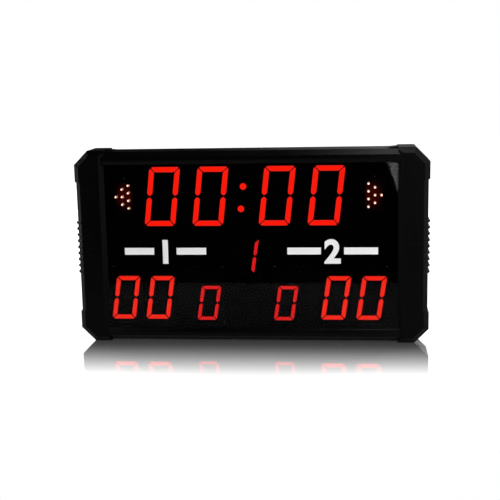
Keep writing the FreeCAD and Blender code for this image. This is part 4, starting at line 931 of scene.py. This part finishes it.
def make_team_mark(name, digit, left, right):
    """A plain number between two bars, printed on the window."""
    middle = (left + right) / 2
    text = bpy.data.curves.new(name + "_number", "FONT")
    text.body = digit
    text.size = MARK_HEIGHT / DIGIT_HEIGHT_SHARE
    text.align_x = "CENTER"
    text.extrude = PRINT_DEPTH / 2
    text.offset = STROKE_WEIGHT
    number = bpy.data.objects.new(name + "_number", text)
    bpy.context.scene.collection.objects.link(number)
    foot = Matrix.Translation((middle, WINDOW_FACE - PRINT_DEPTH / 2, MARK_BASE_Z))
    number.matrix_world = foot @ Matrix.Rotation(math.pi / 2, 4, "X")
    text.materials.append(white_print)
    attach(number, "board")
    mesh = bmesh.new()
    clear = NUMBER_HALF_ROOM + BAR_GAP
    low = MARK_BASE_Z + MARK_HEIGHT / 2 - BAR_HEIGHT / 2
    high = MARK_BASE_Z + MARK_HEIGHT / 2 + BAR_HEIGHT / 2
    for start, end in ((left, middle - clear), (middle + clear, right)):
        corners = [(start, low), (end, low), (end, high), (start, high)]
        add_slab(mesh, corners, WINDOW_FACE - PRINT_DEPTH, WINDOW_FACE)
    finish_piece(name + "_bars", mesh, white_print)


# Back of the board

INSERT_SPACING_X = 0.200
INSERT_SPACING_Z = 0.100
INSERT_LENGTH = 0.013
INSERT_BARREL_RADIUS = 0.0039
INSERT_BORE_RADIUS = 0.0030
INSERT_FLANGE = 0.001
INSERT_FLANGE_RADIUS = 0.0065
INSERT_FLANGE_FACE_RADIUS = 0.0060
INSERT_FLANGE_BEVEL = 0.0004
INSERT_MOUTH_WIDTH = 0.0005
INSERT_MOUTH_DEPTH = 0.0006
INSERT_SIDES = 36
THREAD_START = 0.0006
THREAD_PITCH = 0.0010
THREAD_DEPTH = 0.0004
THREAD_TURNS = 12
SEAM_DISTANCE = 0.0000005
PIN_FOOT = (0.215, 0.0279, 0.096)
PIN_RADIUS = 0.0011
PIN_TIP_RADIUS = PIN_RADIUS * 0.6
PIN_SHOULDER = 0.0085
PIN_LENGTH = 0.0089
PIN_SIDES = 24


def make_inserts():
    """Threaded inserts: a flange with a bevelled rim and a threaded bore."""
    mesh = bmesh.new()
    profile = [(INSERT_BORE_RADIUS, -INSERT_LENGTH)]
    for i in range(THREAD_TURNS):
        height = -INSERT_LENGTH + THREAD_START + i * THREAD_PITCH
        profile.append((INSERT_BORE_RADIUS, height))
        profile.append((INSERT_BORE_RADIUS + THREAD_DEPTH, height + THREAD_PITCH / 2))
    profile += [
        (INSERT_BORE_RADIUS, INSERT_FLANGE - INSERT_MOUTH_DEPTH),
        (INSERT_BORE_RADIUS + INSERT_MOUTH_WIDTH, INSERT_FLANGE),
        (INSERT_FLANGE_FACE_RADIUS, INSERT_FLANGE),
        (INSERT_FLANGE_RADIUS, INSERT_FLANGE - INSERT_FLANGE_BEVEL),
        (INSERT_FLANGE_RADIUS, 0.0),
        (INSERT_BARREL_RADIUS, 0.0),
        (INSERT_BARREL_RADIUS, -INSERT_LENGTH),
        (INSERT_BORE_RADIUS, -INSERT_LENGTH),
    ]
    for across in (-1, 1):
        for up in (-1, 1):
            x = across * INSERT_SPACING_X / 2
            z = BOARD_MIDDLE_Z + up * INSERT_SPACING_Z / 2
            add_lathe(mesh, profile, facing(TO_BACK, (x, PANEL_FACE, z)), INSERT_SIDES)
    # The profile ends where it starts
    bmesh.ops.remove_doubles(mesh, verts=mesh.verts, dist=SEAM_DISTANCE)
    piece = finish_piece("threaded_inserts", mesh, plated_steel, crease=CREASE)
    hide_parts("bracket_inserts")


def make_inlet_pin():
    """The inlet's bright contact pin."""
    mesh = bmesh.new()
    profile = [(0.0, 0.0), (PIN_RADIUS, 0.0), (PIN_RADIUS, PIN_SHOULDER), (PIN_TIP_RADIUS, PIN_LENGTH),
               (0.0, PIN_LENGTH)]
    add_lathe(mesh, profile, facing(TO_BACK, PIN_FOOT), PIN_SIDES)
    finish_piece("inlet_pin", mesh, plated_steel, crease=CREASE)


# Marks on the rocker

ROCKER_PIVOT = Vector((0.215, 0.034, 0.060))
ROCKER_TILT = math.radians(12.0)
ROCKER_HALF_HEIGHT = 0.0072
ROCKER_CREST = 0.0020
ROCKER_RISE = 0.0015
MARK_LIFT = 0.00005
LINE_HALF_WIDTH = 0.00035
LINE_HALF_LENGTH = 0.0017
RING_INNER_RADIUS = 0.0011
RING_OUTER_RADIUS = 0.0017
RING_SIDES = 28


def ring_points(radius):
    """Points round a ring mark, in X and Z."""
    turns = [math.tau * i / RING_SIDES for i in range(RING_SIDES)]
    return [(radius * math.cos(turn), radius * math.sin(turn)) for turn in turns]


def make_rocker_marks():
    """The line and the ring that mark on and off, inlaid in the rocker's two faces."""
    mesh = bmesh.new()
    lean = math.atan2(ROCKER_RISE, ROCKER_HALF_HEIGHT)
    tilted = Matrix.Translation(ROCKER_PIVOT) @ Matrix.Rotation(ROCKER_TILT, 4, "X")
    for side in (-1, 1):
        middle = Vector((0.0, ROCKER_CREST + ROCKER_RISE / 2, side * ROCKER_HALF_HEIGHT / 2))
        # Each face leans outwards from the valley in the middle
        place = tilted @ Matrix.Translation(middle) @ Matrix.Rotation(-side * lean, 4, "X")
        if side > 0:
            outlines = [[(-LINE_HALF_WIDTH, -LINE_HALF_LENGTH), (LINE_HALF_WIDTH, -LINE_HALF_LENGTH),
                         (LINE_HALF_WIDTH, LINE_HALF_LENGTH), (-LINE_HALF_WIDTH, LINE_HALF_LENGTH)]]
        else:
            outlines = [ring_points(RING_INNER_RADIUS), ring_points(RING_OUTER_RADIUS)]
        rings = []
        for outline in outlines:
            rings.append([mesh.verts.new(place @ Vector((x, MARK_LIFT, z))) for x, z in outline])
        if side > 0:
            mesh.faces.new(rings[0])
        else:
            bridge(mesh, rings[0], rings[1])
    finish_piece("rocker_marks", mesh, mark_white, body="rocker")


# Stage: rectangles, floor and world

FLOOR_FRONT = -0.52
FLOOR_BACK = 5.0
FLOOR_HALF_WIDTH = 4.0
FLOOR_GREY = 0.45
FLOOR_LIFT = 0.72
FLOOR_LIFT_START = 0.4
FLOOR_LIFT_END = 1.1
MIRROR_GREY = 0.95
MIRROR_ROUGHNESS = 0.03
MIRROR_FRONT = -0.245
MIRROR_BACK = -0.040
MIRROR_HALF_WIDTH = 0.300
MIRROR_EDGE = 0.008
MIRROR_FADE_POWER = 1.75
MIRROR_LEAST_VEIL = 0.04
AMBIENT_STRENGTH = 0.14
MIRRORED_WORLD_LOW = 0.004
MIRRORED_WORLD_HIGH = 0.32
WORLD_BACK_START = 0.35
WORLD_BACK_END = 0.85
WORLD_RIGHT_START = -0.14
WORLD_RIGHT_END = 0.08


def lying(left, right, front, back):
    """The corners of a rectangle on the floor."""
    return (left, front, 0.0), (right, front, 0.0), (right, back, 0.0), (left, back, 0.0)


def standing(near, far, low, high):
    """The corners of an upright rectangle over the line between two places in X and Y."""
    return (*near, low), (*far, low), (*far, high), (*near, high)


def new_sheet(name, corners):
    """A flat sheet with an empty material, and the material's node tree and surface socket."""
    mesh = bmesh.new()
    mesh.faces.new([mesh.verts.new(corner) for corner in corners])
    material = bpy.data.materials.new(name)
    tree, output = empty_tree(material, "ShaderNodeOutputMaterial")
    return new_object(name, mesh, material), tree, output


def mirror_veil(tree, place):
    """0 where the floor mirrors fully, and 1 where it doesn't."""
    split = split_vector(tree, place)
    # The mirrored strip fades towards the front and ends at the board's sides and back
    fade = map_range(tree, split["Y"], MIRROR_BACK, MIRROR_FRONT)
    curve = calculate(tree, "POWER", fade, MIRROR_FADE_POWER)
    veil = map_range(tree, curve, 0.0, 1.0, low=MIRROR_LEAST_VEIL)
    across = calculate(tree, "ABSOLUTE", split["X"])
    beside = map_range(tree, across, MIRROR_HALF_WIDTH, MIRROR_HALF_WIDTH + MIRROR_EDGE)
    behind = map_range(tree, split["Y"], 0.0, -MIRROR_BACK)
    outer = calculate(tree, "MAXIMUM", beside, behind)
    return calculate(tree, "MAXIMUM", outer, veil)


def stage_floor():
    """White floor that keeps the board's shadow and, just in front of it, its fading reflection."""
    corners = lying(-FLOOR_HALF_WIDTH, FLOOR_HALF_WIDTH, FLOOR_FRONT, FLOOR_BACK)
    floor, tree, output = new_sheet("floor", corners)
    place = tree.nodes.new("ShaderNodeTexCoord").outputs["Object"]
    camera_ray = tree.nodes.new("ShaderNodeLightPath").outputs["Is Camera Ray"]
    matte = tree.nodes.new("ShaderNodeBsdfDiffuse")
    matte.inputs["Color"].default_value = (FLOOR_GREY, FLOOR_GREY, FLOOR_GREY, 1.0)
    mirror = tree.nodes.new("ShaderNodeBsdfGlossy")
    mirror.inputs["Color"].default_value = (MIRROR_GREY, MIRROR_GREY, MIRROR_GREY, 1.0)
    mirror.inputs["Roughness"].default_value = MIRROR_ROUGHNESS
    # The lift reaches white well away from the board
    distance = vector_step(tree, "LENGTH", place)
    open_floor = map_range(tree, distance, FLOOR_LIFT_START, FLOOR_LIFT_END, low=FLOOR_LIFT)
    lift = emission(tree, WHITE, calculate(tree, "MULTIPLY", camera_ray, open_floor))
    bright = tree.nodes.new("ShaderNodeAddShader")
    tree.links.new(matte.outputs["BSDF"], bright.inputs[0])
    tree.links.new(lift, bright.inputs[1])
    # The board's own surfaces see only the matte floor, so no lamp reaches them through the mirror
    unseen = calculate(tree, "SUBTRACT", 1.0, camera_ray)
    matte_share = calculate(tree, "MAXIMUM", mirror_veil(tree, place), unseen)
    tree.links.new(mix_shaders(tree, matte_share, mirror.outputs["BSDF"], bright.outputs["Shader"]), output)


def stage_world():
    """White to the camera, dim to everything else but what lies behind the board."""
    world = bpy.data.worlds.new("studio")
    bpy.context.scene.world = world
    tree, output = empty_tree(world, "ShaderNodeOutputWorld")
    rays = tree.nodes.new("ShaderNodeLightPath").outputs
    direction = split_vector(tree, tree.nodes.new("ShaderNodeTexCoord").outputs["Generated"])
    behind = map_range(tree, direction["Y"], WORLD_BACK_START, WORLD_BACK_END)
    rightward = map_range(tree, direction["X"], WORLD_RIGHT_START, WORLD_RIGHT_END)
    share = calculate(tree, "MULTIPLY", behind, rightward)
    level = map_range(tree, share, 0.0, 1.0, MIRRORED_WORLD_LOW, MIRRORED_WORLD_HIGH)
    glossy = calculate(tree, "MAXIMUM", rays["Is Glossy Ray"], rays["Is Transmission Ray"])
    indirect = mix_shaders(tree, glossy, background(tree, AMBIENT_STRENGTH), background(tree, level))
    final = mix_shaders(tree, rays["Is Camera Ray"], indirect, background(tree, 1.0))
    tree.links.new(final, output)


# Stage: lamps, cards and walls

WARM_WHITE = (1.0, 0.97, 0.88)
GLARE_CORNERS = ((0.26646, -1.03, 0.21645), (0.29268, -1.03, 0.21617), (0.29447, -1.03, 0.13766))
GLARE_STRENGTH = 9.0
TABLE_STRENGTH = 1.6
SIDE_STRENGTH = 2.5
WALL_STRENGTH = 1.08
WALL_START = 0.30
WALL_SIDE = 0.80
WALL_BACK = 0.30
WALL_FRONT = -1.30
WALL_HEIGHT = 0.33
BOARD_MIDDLE = (0.0, 0.0, 0.15)


def stage_lamp(name, place, target, width, height, power):
    """A soft rectangular studio lamp."""
    data = bpy.data.lights.new(name, "AREA")
    data.shape = "RECTANGLE"
    data.size = width
    data.size_y = height
    data.energy = power
    lamp = bpy.data.objects.new(name, data)
    bpy.context.scene.collection.objects.link(lamp)
    aim = (Vector(target) - Vector(place)).to_track_quat("-Z", "Y").to_matrix().to_4x4()
    lamp.matrix_world = Matrix.Translation(Vector(place)) @ aim


def stage_lamps():
    """Lamps over the board, in front of it, at its right edge and behind it."""
    stage_lamp("overhead_right", (0.55, -0.25, 1.35), (0.20, 0.0, 0.10), width=0.5, height=0.8, power=7.5)
    stage_lamp("front_left_fill", (-2.2, -1.5, 1.8), BOARD_MIDDLE, width=0.9, height=0.9, power=24.0)
    stage_lamp("front_right_fill", (1.5, -1.4, 1.8), BOARD_MIDDLE, width=0.9, height=0.9, power=42.0)
    stage_lamp("right_rim", (1.4, -0.2, 1.1), (0.28, 0.0, 0.25), width=0.5, height=0.5, power=2.2)
    stage_lamp("back_left_fill", (-1.7, 1.5, 1.3), BOARD_MIDDLE, width=0.9, height=0.9, power=38.0)
    stage_lamp("back_right_fill", (1.6, 1.5, 1.7), BOARD_MIDDLE, width=0.9, height=0.9, power=38.0)


def stage_card(name, corners, colour, strength):
    """A bright card that shows only where surfaces mirror it."""
    card, tree, output = new_sheet(name, corners)
    tree.links.new(emission(tree, colour, strength), output)
    card.visible_camera = False
    card.visible_diffuse = False
    card.visible_shadow = False


def stage_cards():
    """The slanted glare at the window's upper right corner, and the glow on the right end cap."""
    stage_card("glare_card", GLARE_CORNERS, WHITE, GLARE_STRENGTH)
    table = lying(left=0.34, right=1.00, front=-1.50, back=-0.60)
    stage_card("table_card", table, WARM_WHITE, TABLE_STRENGTH)
    screen = standing(near=(0.37, -1.05), far=(0.75, -1.05), low=0.16, high=0.42)
    stage_card("side_card", screen, WARM_WHITE, SIDE_STRENGTH)


def stage_walls():
    """White walls behind the board's two ends and along both sides, for the floor to mirror."""
    for hand, side in (("left", -1), ("right", 1)):
        start = (side * WALL_START, WALL_BACK)
        corner = (side * WALL_SIDE, WALL_BACK)
        end = (side * WALL_SIDE, WALL_FRONT)
        for place, near, far in (("back", start, corner), ("side", corner, end)):
            # They are lower than the board, so its top never mirrors them
            wall = standing(near, far, 0.0, WALL_HEIGHT)
            stage_card(hand + "_" + place + "_wall", wall, WHITE, WALL_STRENGTH)


stage_world()
stage_floor()
stage_lamps()
stage_cards()
stage_walls()

dress_nodes()
for name, width in EDGE_ROUNDING.items():
    soften(name, width)
make_grip_ribs("right_grip_ribs", 1)
make_grip_ribs("left_grip_ribs", -1)
make_all_screws()
for name in list(nodes):
    if is_lit(name):
        make_light_guides(name)
make_arrow_lamps("left_arrow_lenses", -1)
make_arrow_lamps("right_arrow_lenses", 1)
make_colon_lamps()
make_team_mark("home_mark", "1", left=-0.2190, right=-0.0766)
make_team_mark("guest_mark", "2", left=0.0631, right=0.2166)
make_inserts()
make_inlet_pin()
make_rocker_marks()
